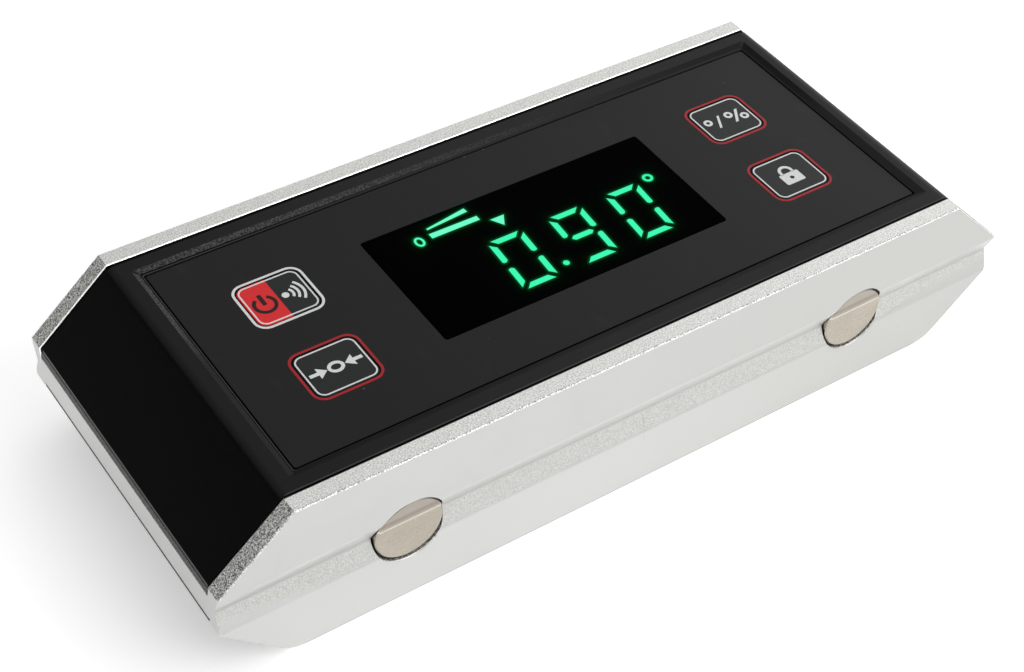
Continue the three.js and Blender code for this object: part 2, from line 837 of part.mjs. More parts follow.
// Back cover: a shell with sloped ends, screw sleeves and the battery bay
function backCover() {
  const outer = lowerSlope(coverSlopeInset);
  const inner = lowerSlope(coverSlopeInset + coverWall);
  const tipX = coverEndInset - endX;
  const rim = endBarBottom - seatGap;
  const shellShape = outline(mirrored([
    [inner.x(coverInside), coverInside],
    [inner.x(rim), rim],
    [tipX, rim],
    [tipX, outer.z(tipX)],
    [outer.x(coverFace), coverFace, footCornerRadius],
  ]));
  const skirtTop = coverInside + coverSkirtHeight;
  const skirtShape = outline(mirrored([
    [inner.x(skirtTop) - seatGap, skirtTop],
    [inner.x(coverInside) - seatGap, coverInside - seatGap],
  ]));
  const pieces = [across(shellShape, -housingSideY, housingSideY)];
  pieces.push(across(skirtShape, -housingSideY, skirtWall - housingSideY));
  pieces.push(across(skirtShape, housingSideY - skirtWall, housingSideY));
  for (const [x, y] of screwPlaces) {
    pieces.push(upright(sleeveRadius, x, y, coverInside - seatGap, sleeveTop));
  }
  pieces.push(block(
    -bayHalfLength - bayWall, bayHalfLength + bayWall,
    -bayHalfWidth - bayWall, bayHalfWidth + bayWall,
    coverInside - seatGap, bayCeiling + bayWall,
  ));
  const cuts = [];
  for (const [x, y] of screwPlaces) {
    cuts.push(upright(counterboreRadius, x, y, coverFace - overrun, counterboreTop));
    cuts.push(upright(sleeveHoleRadius, x, y, coverFace, sleeveTop + overrun, smallSides));
  }
  return surface(cut(join(...pieces), ...cuts, ...bayCuts(), ...padClearances()));
}

// The bay's hollow, the door's rebate, its tab slots and latch relief, and the contact slots
function bayCuts() {
  const below = coverFace - overrun;
  const cuts = [
    block(-bayHalfLength, bayHalfLength, -bayHalfWidth, bayHalfWidth, below, bayCeiling),
    plate(
      roundedRectangle(2 * rebateHalfLength, 2 * rebateHalfWidth, doorCornerRadius + doorGap),
      0, 0, below, shelfZ,
    ),
  ];
  for (const side of signs) {
    const y = side * doorTabSpacing / 2;
    const half = doorTabWidth / 2 + doorGap;
    const slotEnd = -doorHalfLength - doorTabReach - doorGap;
    const slotTop = shelfZ + doorTabThickness + doorSlotSpare;
    cuts.push(block(slotEnd, -bayHalfLength + seatGap, y - half, y + half, shelfZ, slotTop));
    const tailHalf = contactTailWidth / 2 + contactSlotGap;
    const tailRise = contactThickness / 2 + contactSlotGap;
    const cellY = side * cellPitch / 2;
    cuts.push(block(
      -bayHalfLength - bayWall - overrun, seatGap - bayHalfLength,
      cellY - tailHalf, cellY + tailHalf, contactTailZ - tailRise, contactTailZ + tailRise,
    ));
  }
  const latchHalf = latchWidth / 2 + doorGap;
  const reliefTop = doorTop + latchHeight + latchSwing;
  cuts.push(block(
    bayHalfLength - seatGap, bayHalfLength + latchNose + latchSwing,
    -latchHalf, latchHalf, shelfZ - seatGap, reliefTop,
  ));
  cuts.push(upright(
    thumbScoopRadius, rebateHalfLength, 0, below, coverFace + thumbScoopDepth, roundSides,
  ));
  return cuts;
}

// Battery door: a plate with two tabs at its left end, a latch tongue at its right and grip ribs
function batteryDoor() {
  const pieces = [plate(
    roundedRectangle(2 * doorHalfLength, 2 * doorHalfWidth, doorCornerRadius),
    0, 0, doorFace, doorTop,
  )];
  const tabBottom = shelfZ + seatGap;
  const tabTop = tabBottom + doorTabThickness;
  for (const side of signs) {
    const y = side * doorTabSpacing / 2;
    const [y0, y1] = [y - doorTabWidth / 2, y + doorTabWidth / 2];
    const armX = doorTabArm - doorHalfLength;
    pieces.push(block(-doorHalfLength - doorTabReach, armX, y0, y1, tabBottom, tabTop));
    pieces.push(block(-doorHalfLength, armX, y0, y1, doorTop - seatGap, tabTop));
  }
  const tongueX = bayHalfLength - doorGap;
  const half = latchWidth / 2;
  const tongueTop = doorTop + latchHeight;
  pieces.push(block(
    tongueX - latchThickness, tongueX, -half, half, doorTop - seatGap, tongueTop,
  ));
  pieces.push(block(
    tongueX - latchThickness, tongueX + latchNose, -half, half, tongueTop - latchNoseHeight, tongueTop,
  ));
  for (let i = 0; i < gripRibCount; i += 1) {
    const x = doorHalfLength - (i + 2) * gripRibPitch;
    pieces.push(block(
      x - gripRibWidth / 2, x + gripRibWidth / 2, -gripRibLength / 2, gripRibLength / 2,
      doorFace - gripRibHeight, doorFace + seatGap,
    ));
  }
  return surface(join(...pieces));
}

// Two cells lying side by side, one turned about
function batteryCells() {
  const round = cellEdgeRadius;
  const cell = turned([
    [0, 0],
    [cellRadius - round, 0],
    [cellRadius, round],
    [cellRadius, cellLength - round],
    [cellRadius - round, cellLength],
    [cellNubRadius, cellLength],
    [cellNubRadius, cellLength + cellNubLength],
    [0, cellLength + cellNubLength],
  ], roundSides);
  const plateX = contactX - contactThickness / 2 - seatGap;
  const back = plateX - cellNubLength - cellLength;
  signs.forEach((side, i) => {
    const placed = add(`battery_cell_${i + 1}`, cell, cellJacket);
    placed.rotation.y = -side * Math.PI / 2;
    placed.position.set(-side * back, side * cellPitch / 2, cellZ);
  });
}

// Sprung and flat contact plates, the conical springs and the two leads up to the board
function batteryContacts() {
  const half = contactWidth / 2;
  const thick = contactThickness / 2;
  const tail = contactTailWidth / 2;
  const tailEnd = -bayHalfLength - bayWall - contactTailReach;
  signs.forEach((side) => {
    const name = side < 0 ? 'contact_minus' : 'contact_plus';
    const y = side * cellPitch / 2;
    const face = block(
      -contactX - thick, thick - contactX, y - half, y + half, contactLow, contactTop,
    );
    const tongue = block(
      tailEnd, thick - contactX, y - tail, y + tail, contactTailZ - thick, contactTop,
    );
    add(name, surface(join(face, tongue)), steel);
    const wire = lead(leadTailInset + tailEnd, y, side);
    add(side < 0 ? 'lead_minus' : 'lead_plus', wire, side < 0 ? blackLead : redLead);
  });
  const reach = cellPitch / 2 + half;
  const bridge = block(contactX - thick, contactX + thick, -reach, reach, contactLow, contactTop);
  add('contact_bridge', surface(bridge), steel);
  signs.forEach((side) => {
    const spring = add(side < 0 ? 'spring_minus' : 'spring_bridge', conicalSpring(), steel);
    spring.rotation.y = -side * Math.PI / 2;
    spring.position.set(side * (contactX - thick - seatGap), side * cellPitch / 2, cellZ);
  });
}

// A closed tube swept along a list of points by rings of equal section
function sweep(points, radius, sides) {
  const vertices = [];
  const faces = [];
  const tangentAt = (i) => {
    const before = points[Math.max(i - 1, 0)];
    const after = points[Math.min(i + 1, points.length - 1)];
    return after.clone().sub(before).normalize();
  };
  let sideways = new THREE.Vector3(1, 0, 0);
  points.forEach((point, i) => {
    const tangent = tangentAt(i);
    sideways = sideways.clone().addScaledVector(tangent, -sideways.dot(tangent)).normalize();
    const upwards = tangent.clone().cross(sideways);
    for (let k = 0; k < sides; k += 1) {
      const angle = 2 * Math.PI * k / sides;
      const spot = point.clone();
      spot.addScaledVector(sideways, radius * Math.cos(angle));
      spot.addScaledVector(upwards, radius * Math.sin(angle));
      vertices.push(spot.x, spot.y, spot.z);
    }
  });
  for (let i = 0; i + 1 < points.length; i += 1) {
    for (let k = 0; k < sides; k += 1) {
      const a = i * sides + k;
      const b = i * sides + (k + 1) % sides;
      faces.push(a, b, b + sides, a, b + sides, a + sides);
    }
  }
  const last = (points.length - 1) * sides;
  for (let k = 1; k + 1 < sides; k += 1) {
    faces.push(0, k + 1, k, last, last + k, last + k + 1);
  }
  const geometry = new THREE.BufferGeometry();
  geometry.setAttribute('position', new THREE.Float32BufferAttribute(vertices, 3));
  geometry.setIndex(faces);
  return toCreasedNormals(geometry, creaseAngle);
}

// A conical spring standing on its wide end, its first and last turns lying nearly flat
function conicalSpring() {
  const low = springWireRadius;
  const rise = springLength - 2 * seatGap - 2 * springWireRadius;
  const steps = springTurns * springStepsPerTurn;
  const points = [];
  for (let i = 0; i <= steps; i += 1) {
    const share = i / steps;
    const climb = THREE.MathUtils.smoothstep(share, 0, 1);
    const radius = THREE.MathUtils.lerp(springBaseRadius, springTipRadius, climb);
    const angle = 2 * Math.PI * springTurns * share;
    points.push(new THREE.Vector3(
      radius * Math.cos(angle), radius * Math.sin(angle), low + rise * climb,
    ));
  }
  return sweep(points, springWireRadius, springSides);
}

// A short lead from a contact's tail up to the underside of the board
function lead(x, y, side) {
  const start = new THREE.Vector3(x, y, contactTop + seatGap);
  const end = new THREE.Vector3(x, y + side * leadSidestep, boardBottom - seatGap);
  const middle = (start.z + end.z) / 2;
  const curve = new THREE.CubicBezierCurve3(
    start,
    new THREE.Vector3(x, start.y, middle),
    new THREE.Vector3(x, end.y, middle),
    end,
  );
  return sweep(curve.getPoints(leadSteps), leadRadius, wireSides);
}

add('frame', frame(), aluminium);
magnets();
add('front_housing', frontHousing(), blackPlastic);
add('key_overlay', keyOverlay(), overlayFilm);
add('display_lens', displayLens(), smokedAcrylic);
add('led_display', ledDisplay(), displayPlastic);
keys();
add('main_board', mainBoard(), boardGreen);
add('microcontroller', chip(processorSize, processorHeight, boardEndX - processorInset), chipBlack);
add('tilt_sensor', chip(sensorSize, sensorHeight, sensorInset - boardEndX), chipBlack);
add('buzzer', buzzer(), chipBlack);
add('boost_coil', boostCoil(), copper);
add('smoothing_capacitor', smoothingCapacitor(), steel);
screws();
add('back_cover', backCover(), blackPlastic);
add('battery_door', batteryDoor(), blackPlastic);
batteryCells();
batteryContacts();

export default gauge;
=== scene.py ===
import math

import bmesh
import bpy
import numpy as np
from mathutils import Matrix, Vector


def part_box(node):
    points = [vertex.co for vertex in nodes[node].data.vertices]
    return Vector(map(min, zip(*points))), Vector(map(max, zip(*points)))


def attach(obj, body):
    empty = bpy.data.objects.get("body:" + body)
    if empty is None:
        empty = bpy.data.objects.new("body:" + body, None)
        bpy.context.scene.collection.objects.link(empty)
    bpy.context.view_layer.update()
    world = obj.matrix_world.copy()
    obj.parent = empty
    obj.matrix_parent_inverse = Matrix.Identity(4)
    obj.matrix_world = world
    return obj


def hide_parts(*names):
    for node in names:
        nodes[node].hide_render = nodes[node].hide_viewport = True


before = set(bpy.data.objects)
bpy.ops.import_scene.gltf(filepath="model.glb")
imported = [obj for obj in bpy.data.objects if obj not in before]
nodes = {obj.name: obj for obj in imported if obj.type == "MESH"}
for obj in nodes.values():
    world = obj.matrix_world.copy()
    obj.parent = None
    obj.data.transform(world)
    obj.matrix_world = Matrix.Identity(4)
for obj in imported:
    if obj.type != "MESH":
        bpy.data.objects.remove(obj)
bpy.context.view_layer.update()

# Sizes below are in millimetres, as on the drawing; MM turns them into metres.
MM = 0.001


def span(node):
    """The lowest and highest corners of a node, in millimetres."""
    low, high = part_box(node)
    return low / MM, high / MM


def middle(node):
    """The middle of a node as seen from above, in millimetres."""
    low, high = span(node)
    return ((low.x + high.x) / 2, (low.y + high.y) / 2)


# The film and what is printed on it
FILM_TOP = span("key_overlay")[1].z
PRINT_TOP = FILM_TOP + 0.025
LIT_TOP = FILM_TOP + 0.02
KEY_CENTRES = {key: middle(key + "_key") for key in ("power", "tare", "units", "freeze")}
# The ring round a key and the line printed on it: half sizes and corner radii, outside and inside
KEY_RING = [((6.02, 5.27), 2.2), ((5.6, 4.85), 1.78)]
KEY_LINE = [((5.12, 4.37), 1.4), ((4.87, 4.12), 1.16)]
SPECK = 0.13
# The frame's rails, and the levels of the groove along them
HALF_WIDTH = 30.0
RAIL_GAP = 0.25
HOUSING_SIDE = span("front_housing")[1].y
RAIL_INSIDE = HOUSING_SIDE + RAIL_GAP
GROOVE_FOOT = 12.0
GROOVE_CORNER = 15.2
GROOVE_HEAD = 16.0
END_BAND_FOOT = 17.35
# The magnets and their holes
MAGNETS = ["magnet_near_left", "magnet_near_right", "magnet_far_left", "magnet_far_right"]
MAGNET_X = abs(middle("magnet_near_left")[0])
MAGNET_Z = sum(corner.z for corner in span("magnet_near_left")) / 2
POCKET_GAP = 0.15
POCKET_RADIUS = span("magnet_near_left")[1].z - MAGNET_Z + POCKET_GAP


def tint(red, green, blue):
    """A colour as a screen shows it, 0 to 255, as the values that light works with."""
    def straight(value):
        value /= 255
        return value / 12.92 if value <= 0.04045 else ((value + 0.055) / 1.055) ** 2.4
    return (straight(red), straight(green), straight(blue), 1)


# ---- Sums of nodes ----

class Signal:
    """A node's socket in a Python sum: each operator that is used on it adds one Math node."""

    def __init__(self, sheet, socket):
        self.sheet = sheet
        self.socket = socket

    def output(self, name):
        return Signal(self.sheet, self.socket.node.outputs[name])

    def math(self, operation, *values):
        settings = {"operation": operation}
        return self.sheet.node("ShaderNodeMath", settings, dict(enumerate(values)))

    def __add__(self, other):
        return self.math("ADD", self, other)

    def __radd__(self, other):
        return self.math("ADD", other, self)

    def __sub__(self, other):
        return self.math("SUBTRACT", self, other)

    def __rsub__(self, other):
        return self.math("SUBTRACT", other, self)

    def __mul__(self, other):
        return self.math("MULTIPLY", self, other)

    def __truediv__(self, other):
        return self.math("DIVIDE", self, other)

    def __rtruediv__(self, other):
        return self.math("DIVIDE", other, self)

    def __pow__(self, other):
        return self.math("POWER", self, other)

    def __abs__(self):
        return self.math("ABSOLUTE", self)

    def larger(self, other):
        return self.math("MAXIMUM", self, other)

    def wave(self):
        return self.math("SINE", self)

    def rise(self, low, high):
        """0 up to low and 1 from high on, with a soft step between."""
        settings = {"interpolation_type": "SMOOTHSTEP"}
        sockets = {"Value": self, "From Min": low, "From Max": high}
        return self.sheet.node("ShaderNodeMapRange", settings, sockets)

    def fall(self, low, high):
        """1 up to low and 0 from high on, with a soft step between."""
        return 1 - self.rise(low, high)


class Sheet:
    """A tree of nodes that is written as sums."""

    def __init__(self, tree):
        self.tree = tree
        self.tree.nodes.clear()

    def node(self, kind, settings=None, sockets=None):
        made = self.tree.nodes.new(kind)
        for key, setting in (settings or {}).items():
            setattr(made, key, setting)
        for key, value in (sockets or {}).items():
            if isinstance(value, (Signal, list)):
                for source in value if isinstance(value, list) else [value]:
                    self.tree.links.new(source.socket, made.inputs[key])
            else:
                made.inputs[key].default_value = value
        return Signal(self, made.outputs[0] if made.outputs else None)

    def parts(self, vector):
        split = self.node("ShaderNodeSeparateXYZ", {}, {"Vector": vector})
        return split, split.output("Y"), split.output("Z")

    def vector(self, x=0.0, y=0.0, z=0.0):
        return self.node("ShaderNodeCombineXYZ", {}, {"X": x, "Y": y, "Z": z})


class Finish(Sheet):
    """One material or world, written as sums of its patterns."""

    def __init__(self, owner):
        owner.use_nodes = True
        self.owner = owner
        super().__init__(owner.node_tree)

    def place(self, stretch=(1, 1, 1)):
        """Where a point lies on its piece, in millimetres, or stretched along an axis."""
        spot = self.node("ShaderNodeTexCoord").output("Object")
        scale = tuple(share / MM for share in stretch)
        sockets = {"Vector": spot, "Scale": scale}
        return self.node("ShaderNodeMapping", {"vector_type": "POINT"}, sockets)

    def facing(self):
        return self.parts(self.node("ShaderNodeTexCoord").output("Normal"))

    def noise(self, place, scale, detail=2.0, roughness=0.5):
        sockets = {"Vector": place, "Scale": scale, "Detail": detail, "Roughness": roughness}
        return self.node("ShaderNodeTexNoise", {}, sockets)

    def cells(self, place, scale):
        return self.node("ShaderNodeTexVoronoi", {}, {"Vector": place, "Scale": scale})

    def mix(self, share, first, second):
        settings = {"data_type": "RGBA"}
        sockets = {0: share, 6: first, 7: second}
        return self.node("ShaderNodeMix", settings, sockets).output(2)

    def layers(self, tone, *laid):
        """A tone with others laid over it in turn, each by its share."""
        for share, colour in laid:
            tone = self.mix(share, tone, colour)
        return tone

    def bump(self, height, depth, strength=1.0, over=None):
        sockets = {"Height": height, "Distance": depth * MM, "Strength": strength}
        if over is not None:
            sockets["Normal"] = over
        return self.node("ShaderNodeBump", {}, sockets)

    def dust(self, place, spacing, size, share):
        """Small bright specks, one at most in each cell of a loose grid."""
        grain = self.cells(place, 1 / spacing)
        chosen = self.parts(grain.output("Color"))[0].rise(1 - share, 1 - share + 0.01)
        return (grain.output("Distance") * spacing).fall(size * 0.5, size) * chosen

    def surface(self, **sockets):
        named = {key.replace("_", " "): value for key, value in sockets.items()}
        shader = self.node("ShaderNodeBsdfPrincipled", {}, named)
        self.node("ShaderNodeOutputMaterial", {}, {"Surface": shader})
        return self.owner


def new_finish(name):
    return Finish(bpy.data.materials.new(name))


# ---- Finishes ----

def pole_pocket(f, place, upright, jagged):
    """The dark gap between each magnet and its hole, on the side that light doesn't reach."""
    x, y, z = f.parts(place)
    across, height = abs(x) - MAGNET_X, z - MAGNET_Z
    across = (x.rise(-0.1, 0.1) * 2 - 1) * across
    from_pole = (across * across + height * height) ** 0.5
    shaded = (across * 0.6 - height * 0.8).rise(-4.0, -1.5)
    gap = (from_pole + jagged * 0.25).fall(POCKET_RADIUS + 0.04, POCKET_RADIUS + 0.12)
    gap = gap * abs(y).rise(RAIL_INSIDE, RAIL_INSIDE + 0.2)
    return gap * upright.fall(0.2, 0.4).larger(shaded)


def frame_aluminium():
    """Extruded rails with blasted rims, slopes and groove, milled sides, and ragged painted
    highlights and shade along their edges.
    """
    f = new_finish("blasted_and_milled_aluminium")
    place = f.place()
    x, y, z = f.parts(place)
    facing_x, facing_y, facing_z = f.facing()
    endwise, upright = abs(facing_x), abs(facing_y)
    ragged = f.noise(place, 2.2, 3.0, 0.65) - 0.5
    jagged = f.noise(place, 5.0, 2.0, 0.7) - 0.5
    grain = f.noise(place, 3.9, 2.0, 0.75)
    pits = f.noise(place, 8.0, 1.0)
    fine = f.noise(place, 6.0, 2.0)
    streaks = f.noise(f.place((0.05, 1, 1.6)), 3.0, 3.0, 0.6)
    wear_and_sheen = f.noise(place, 0.09, 3.0, 0.6)
    salt = (grain * 0.6 + pits * 0.4).rise(0.37, 0.63)
    glint = salt.rise(0.25, 0.55)
    flecks = f.dust(place, 7.0, 0.1, 0.4) * upright.rise(0.9, 0.98)
    # Blasted faces, and a ragged painted highlight line along the rounded edges of the rails
    rail_top = z.rise(GROOVE_HEAD, GROOVE_HEAD + 0.2)
    sloped = endwise.rise(0.35, 0.6) * abs(facing_z).rise(0.35, 0.6)
    rim = abs(facing_z).rise(0.55, 0.8) * upright.fall(0.3, 0.6)
    end_band = (z + jagged * 1.1).rise(END_BAND_FOOT, END_BAND_FOOT + 0.1)
    end_band = end_band * endwise.rise(0.8, 0.95) * abs(y).fall(RAIL_INSIDE - 0.1, RAIL_INSIDE)
    edge = upright.rise(0.3, 0.55) * upright.fall(0.85, 0.97) * facing_z.rise(0.2, 0.4) * rail_top
    blasted = rim.larger(sloped).larger(end_band).larger(edge)
    from_middle = abs(abs(y) - (RAIL_INSIDE + HALF_WIDTH) / 2)
    line = edge * (from_middle + jagged * 0.9).rise(1.34, 1.4)
    # The groove, and the lip over it with painted light and shade on its downward face, darker
    # lower down and towards the right end; a painted shadow strip under the lip
    lower_groove = facing_z.rise(0.12, 0.3) * upright.rise(0.85, 0.9)
    groove = lower_groove * (z + ragged * 0.7).rise(GROOVE_FOOT - 0.05, GROOVE_FOOT + 0.1)
    corner = lower_groove * (z + ragged * 0.15).rise(GROOVE_CORNER, GROOVE_CORNER + 0.1)
    overhang = facing_z.fall(-0.3, -0.12) * upright.rise(0.7, 0.85)
    lip = f.mix(z.fall(15.7, 18.6), tint(218, 218, 216), tint(211, 211, 209))
    lip = f.mix(x.rise(10, 75) * 0.7, lip, tint(204, 204, 202))
    # The rails' inner sides and the gap by the housing, painted black as shade, and a painted
    # highlight along the rails' inner top edge
    in_rail = abs(y) - RAIL_INSIDE
    inside = (in_rail + y.rise(-1, 1) * 0.27).fall(0.3, 0.38) * endwise.fall(0.35, 0.5)
    inside = inside.larger(in_rail.fall(0.2, 0.3) * upright.rise(0.75, 0.85)) * rail_top
    from_wall = y - RAIL_INSIDE
    gap_shade = from_wall.rise(-0.02, 0.0) * (from_wall + jagged * 0.12).fall(0.08, 0.12) * rail_top
    rail_edge_highlight = from_wall.rise(0.0, 0.04) * (from_wall + jagged * 0.24).fall(0.22, 0.3)
    rail_edge_highlight = rail_edge_highlight * rail_top * (1 - inside)
    tone = f.layers(
        f.mix(wear_and_sheen.rise(0.3, 0.75), tint(207, 207, 206), tint(204, 204, 203)),
        # Painted light and shade: the sides darker towards the right end, and lighter below the
        # groove towards the left
        (x.rise(-70, 70), tint(197, 197, 194)),
        (z.fall(GROOVE_FOOT - 0.8, GROOVE_FOOT) * x.fall(-20, 90) * 0.75, tint(212, 212, 210)),
        # Painted shade: a dark grey line along the bottom edge
        (z.fall(0.2, 0.45) * 0.9, tint(92, 92, 90)),
        # Painted light and shade on the lip's downward face
        (overhang, lip),
        (blasted, f.mix(salt, tint(201, 201, 198), tint(252, 252, 249))),
        (groove, f.mix(salt, tint(192, 192, 189), tint(222, 222, 218))),
        # Painted shadow: a grey strip at the top of the lower groove face, under the lip
        (corner, tint(198, 198, 196)),
        (sloped, f.mix(salt, tint(58, 58, 56), tint(255, 255, 251))),
        # The blasted band at the top of each end, painted dark grey as shade
        (end_band, f.mix(salt, tint(62, 62, 61), tint(120, 120, 118))),
        # Painted highlight: a white line along the rails' rounded edges with glints in the grain;
        # the rest of each rounded edge is painted mid grey
        (edge - line, tint(168, 168, 165)),
        (line, f.mix(glint, tint(210, 210, 208), tint(255, 255, 253))),
        (flecks * 0.7, tint(84, 82, 78)),
        (pole_pocket(f, place, upright, jagged), tint(60, 56, 51)),
        # Painted shade on the rails' inner sides and in the gap by the housing, and a painted
        # highlight along the rails' inner top edge
        (inside, tint(16, 16, 16)),
        (rail_edge_highlight, tint(253, 253, 251)),
        (gap_shade, tint(16, 16, 16)),
    )
    rough = 0.42 + streaks * 0.05 + blasted * (0.12 + salt * 0.1) + groove * 0.1
    rough = rough + edge * 0.2 - line * glint * 0.42 - rail_edge_highlight * 0.3
    coat = blasted * 0.55 + groove * 0.4 + sloped * 0.8
    relief = f.bump((grain + pits * 0.6) * coat * (1 - rail_edge_highlight), 0.16, 0.9)
    relief = f.bump(streaks + fine * 0.35, 0.004, 0.6, relief)
    return f.surface(Base_Color=tone, Metallic=1.0, Roughness=rough, Normal=relief)


def magnet_nickel():
    """Bright nickel plate, faintly yellowed, with lighter and darker bands across its upper part by
    height.
    """
    f = new_finish("nickel_plate")
    place = f.place()
    height = f.parts(place)[2] - MAGNET_Z
    cloud = f.noise(place, 0.22, 3.0, 0.55)
    rubs = f.noise(f.place((0.12, 1, 1.4)), 2.6, 3.0, 0.6)
    fine = f.noise(place, 5.0, 2.0)
    drift = (cloud - 0.5) * 0.5
    level, line_level = height + drift, height + drift * 0.4
    upper_part = level.rise(2.3, 2.45)
    tone = f.layers(
        f.mix(cloud.rise(0.35, 0.65), tint(180, 172, 159), tint(174, 167, 154)),
        (upper_part, tint(168, 161, 151)),
        (level.rise(2.7, 2.95) * level.fall(3.5, 3.9), tint(154, 143, 132)),
        (line_level.rise(1.95, 2.1) * line_level.fall(2.3, 2.45), tint(208, 201, 190)),
        (rubs.rise(0.6, 0.8) * 0.2, tint(222, 214, 201)),
    )
    rough = 0.2 + rubs * 0.1 + fine * 0.05 + upper_part * 0.06
    relief = f.bump(rubs + fine * 0.3, 0.004, 0.6)
    return f.surface(Base_Color=tone, Metallic=1.0, Roughness=rough, Normal=relief)


def beyond_film(place, f):
    """How far a point lies outside the outline of the film, and less than 0 within it."""
    low, high = span("key_overlay")
    x, y, _ = f.parts(place)
    from_end = abs(x - (low.x + high.x) / 2) - (high.x - low.x) / 2
    from_side = abs(y - (low.y + high.y) / 2) - (high.y - low.y) / 2
    return from_end.larger(from_side)


def housing_plastic(name, grain_depth):
    """Black moulded plastic with a fine eroded grain, a little dust that has settled on it, and
    painted light and shade on its bevels, ends and edges.
    """
    f = new_finish(name)
    place = f.place()
    x, y, z = f.parts(place)
    facing_x, _, facing_z = f.facing()
    grain = f.noise(place, 3.4, 3.0, 0.6)
    coarse = f.noise(place, 0.35, 2.0)
    specks = f.dust(place, 4.0, SPECK, 0.26) * facing_z.rise(0.3, 0.7)
    scuffs = f.noise(f.place((0.25, 1.3, 1)), 1.6, 4.0, 0.65).rise(0.66, 0.82)
    # The bevelled mouth of the recess, from its lip up to its crest, with painted light and shade:
    # towards the left a highlight line at the lip and a dark line above it, and on the far crest a
    # painted sheen in the grain towards the left and shade towards the right
    bevel = facing_z.rise(0.75, 0.85) * facing_z.fall(0.93, 0.97)
    bevel = bevel * beyond_film(place, f).fall(1.5, 1.6)
    above_film = z - FILM_TOP + (grain - 0.5) * 0.05
    leftward = x.fall(-60, 10)
    lip = bevel * above_film.fall(0.06, 0.09) * leftward
    step = bevel * above_film.rise(0.06, 0.09) * above_film.fall(0.17, 0.2) * leftward
    crest = bevel * above_film.rise(0.17, 0.2) * y.rise(0, 10)
    wear_and_sheen = crest * x.fall(-50, 40) * grain.rise(0.35, 0.65)
    # The sloped ends, painted dark as shade, and the edges along the rails: a painted highlight on
    # the housing's outer edges and painted shade by the far rail
    slope = facing_x.fall(-0.6, -0.4)
    inset = HOUSING_SIDE - abs(y) + (grain - 0.5) * 0.1
    housing_edge_highlight = inset.fall(0.16, 0.26) * z.rise(25, 26)
    housing_edge_highlight = housing_edge_highlight * facing_z.rise(0.2, 0.4) * abs(facing_x).fall(0.1, 0.3)
    by_far_rail = (HOUSING_SIDE - y).fall(0.24, 0.34)
    tone = f.layers(
        f.mix(coarse, tint(26, 26, 27), tint(31, 31, 32)),
        # Painted shade: darker towards the left end
        (x.fall(-70, 0) * 0.7, tint(10, 10, 11)),
        (grain.rise(0.55, 0.8) * 0.2 + scuffs * 0.1, tint(46, 46, 47)),
        # Painted shade on the sloped ends
        (slope, tint(5, 5, 5)),
        # Painted shade on the far crest towards the right, a painted sheen on it towards the left,
        # and a painted highlight line at the lip
        (crest * x.rise(10, 60), tint(8, 8, 8)),
        (wear_and_sheen * 0.8, tint(84, 84, 84)),
        (lip * 0.8, tint(58, 58, 58)),
        # Painted highlight on the housing's outer edges, and painted shade by the far rail
        (housing_edge_highlight * 0.9, tint(62, 62, 63)),
        (by_far_rail, tint(2, 2, 2)),
        # Painted shade: a dark line on the bevel above its lip
        (step, tint(1, 1, 1)),
        (specks * 0.55, tint(150, 150, 146)),
    )
    rough = 0.5 + grain * 0.16 + scuffs * 0.06 - slope * 0.2 + step * 0.3 + by_far_rail * 0.5
    relief = f.bump(grain, grain_depth, 0.8)
    return f.surface(Base_Color=tone, Roughness=rough, Normal=relief, Specular_IOR_Level=0.16)


def overlay_film():
    """Dark printed film with a velvet face, a few specks and a faint smear."""
    f = new_finish("printed_film")
    place = f.place()
    velvet = f.noise(place, 4.5, 2.0)
    cloud = f.noise(place, 0.06, 2.0)
    smear = f.noise(f.place((0.5, 0.16, 1)), 0.7, 4.0, 0.6).rise(0.58, 0.8)
    edge = beyond_film(place, f)
    swept_up = f.dust(place, 1.7, SPECK, 0.3) * edge.rise(-0.4, -0.2)
    specks = f.dust(place, 5.2, SPECK, 0.42).larger(swept_up)
    tone = f.layers(
        f.mix(cloud, tint(14, 14, 15), tint(18, 18, 19)),
        (smear * 0.1, tint(52, 52, 54)),
        # Painted shade: a dark line round the film's edge
        (edge.rise(-0.16, -0.06), tint(2, 2, 2)),
        (specks * 0.6, tint(140, 140, 136)),
    )
    rough = 0.42 + velvet * 0.12 - smear * 0.05
    relief = f.bump(velvet, 0.012, 0.7)
    return f.surface(Base_Color=tone, Roughness=rough, Normal=relief, Specular_IOR_Level=0.2)


def key_film(name, centre=None):
    """The film of a key, with its left half printed red where a centre is given."""
    f = new_finish(name)
    place = f.place()
    x, _, z = f.parts(place)
    velvet = f.noise(place, 4.5, 2.0)
    wear = f.noise(place, 0.8, 3.0, 0.6)
    tone = f.mix(wear, tint(15, 18, 18), tint(20, 23, 23))
    if centre:
        red = f.mix(velvet, tint(204, 26, 30), tint(220, 38, 40))
        left_half = x.fall(centre[0] - 0.05, centre[0] + 0.03)
        face = z.rise(FILM_TOP - 1.0, FILM_TOP - 0.9)
        tone = f.mix(left_half * face, tone, red)
    rough = 0.4 + velvet * 0.12 - wear * 0.05
    relief = f.bump(velvet, 0.012, 0.7)
    return f.surface(Base_Color=tone, Roughness=rough, Normal=relief, Specular_IOR_Level=0.28)


def ink(name, colour, shade):
    """Screen-printed ink: one colour with the faint mottle of the mesh it went through."""
    f = new_finish(name)
    place = f.place()
    mottle = f.noise(place, 3.2, 3.0, 0.6)
    tone = f.mix(mottle.rise(0.3, 0.75), colour, shade)
    relief = f.bump(f.noise(place, 7.0, 1.0), 0.006, 0.6)
    return f.surface(
        Base_Color=tone, Roughness=0.38 + mottle * 0.18, Normal=relief, Specular_IOR_Level=0.25,
    )


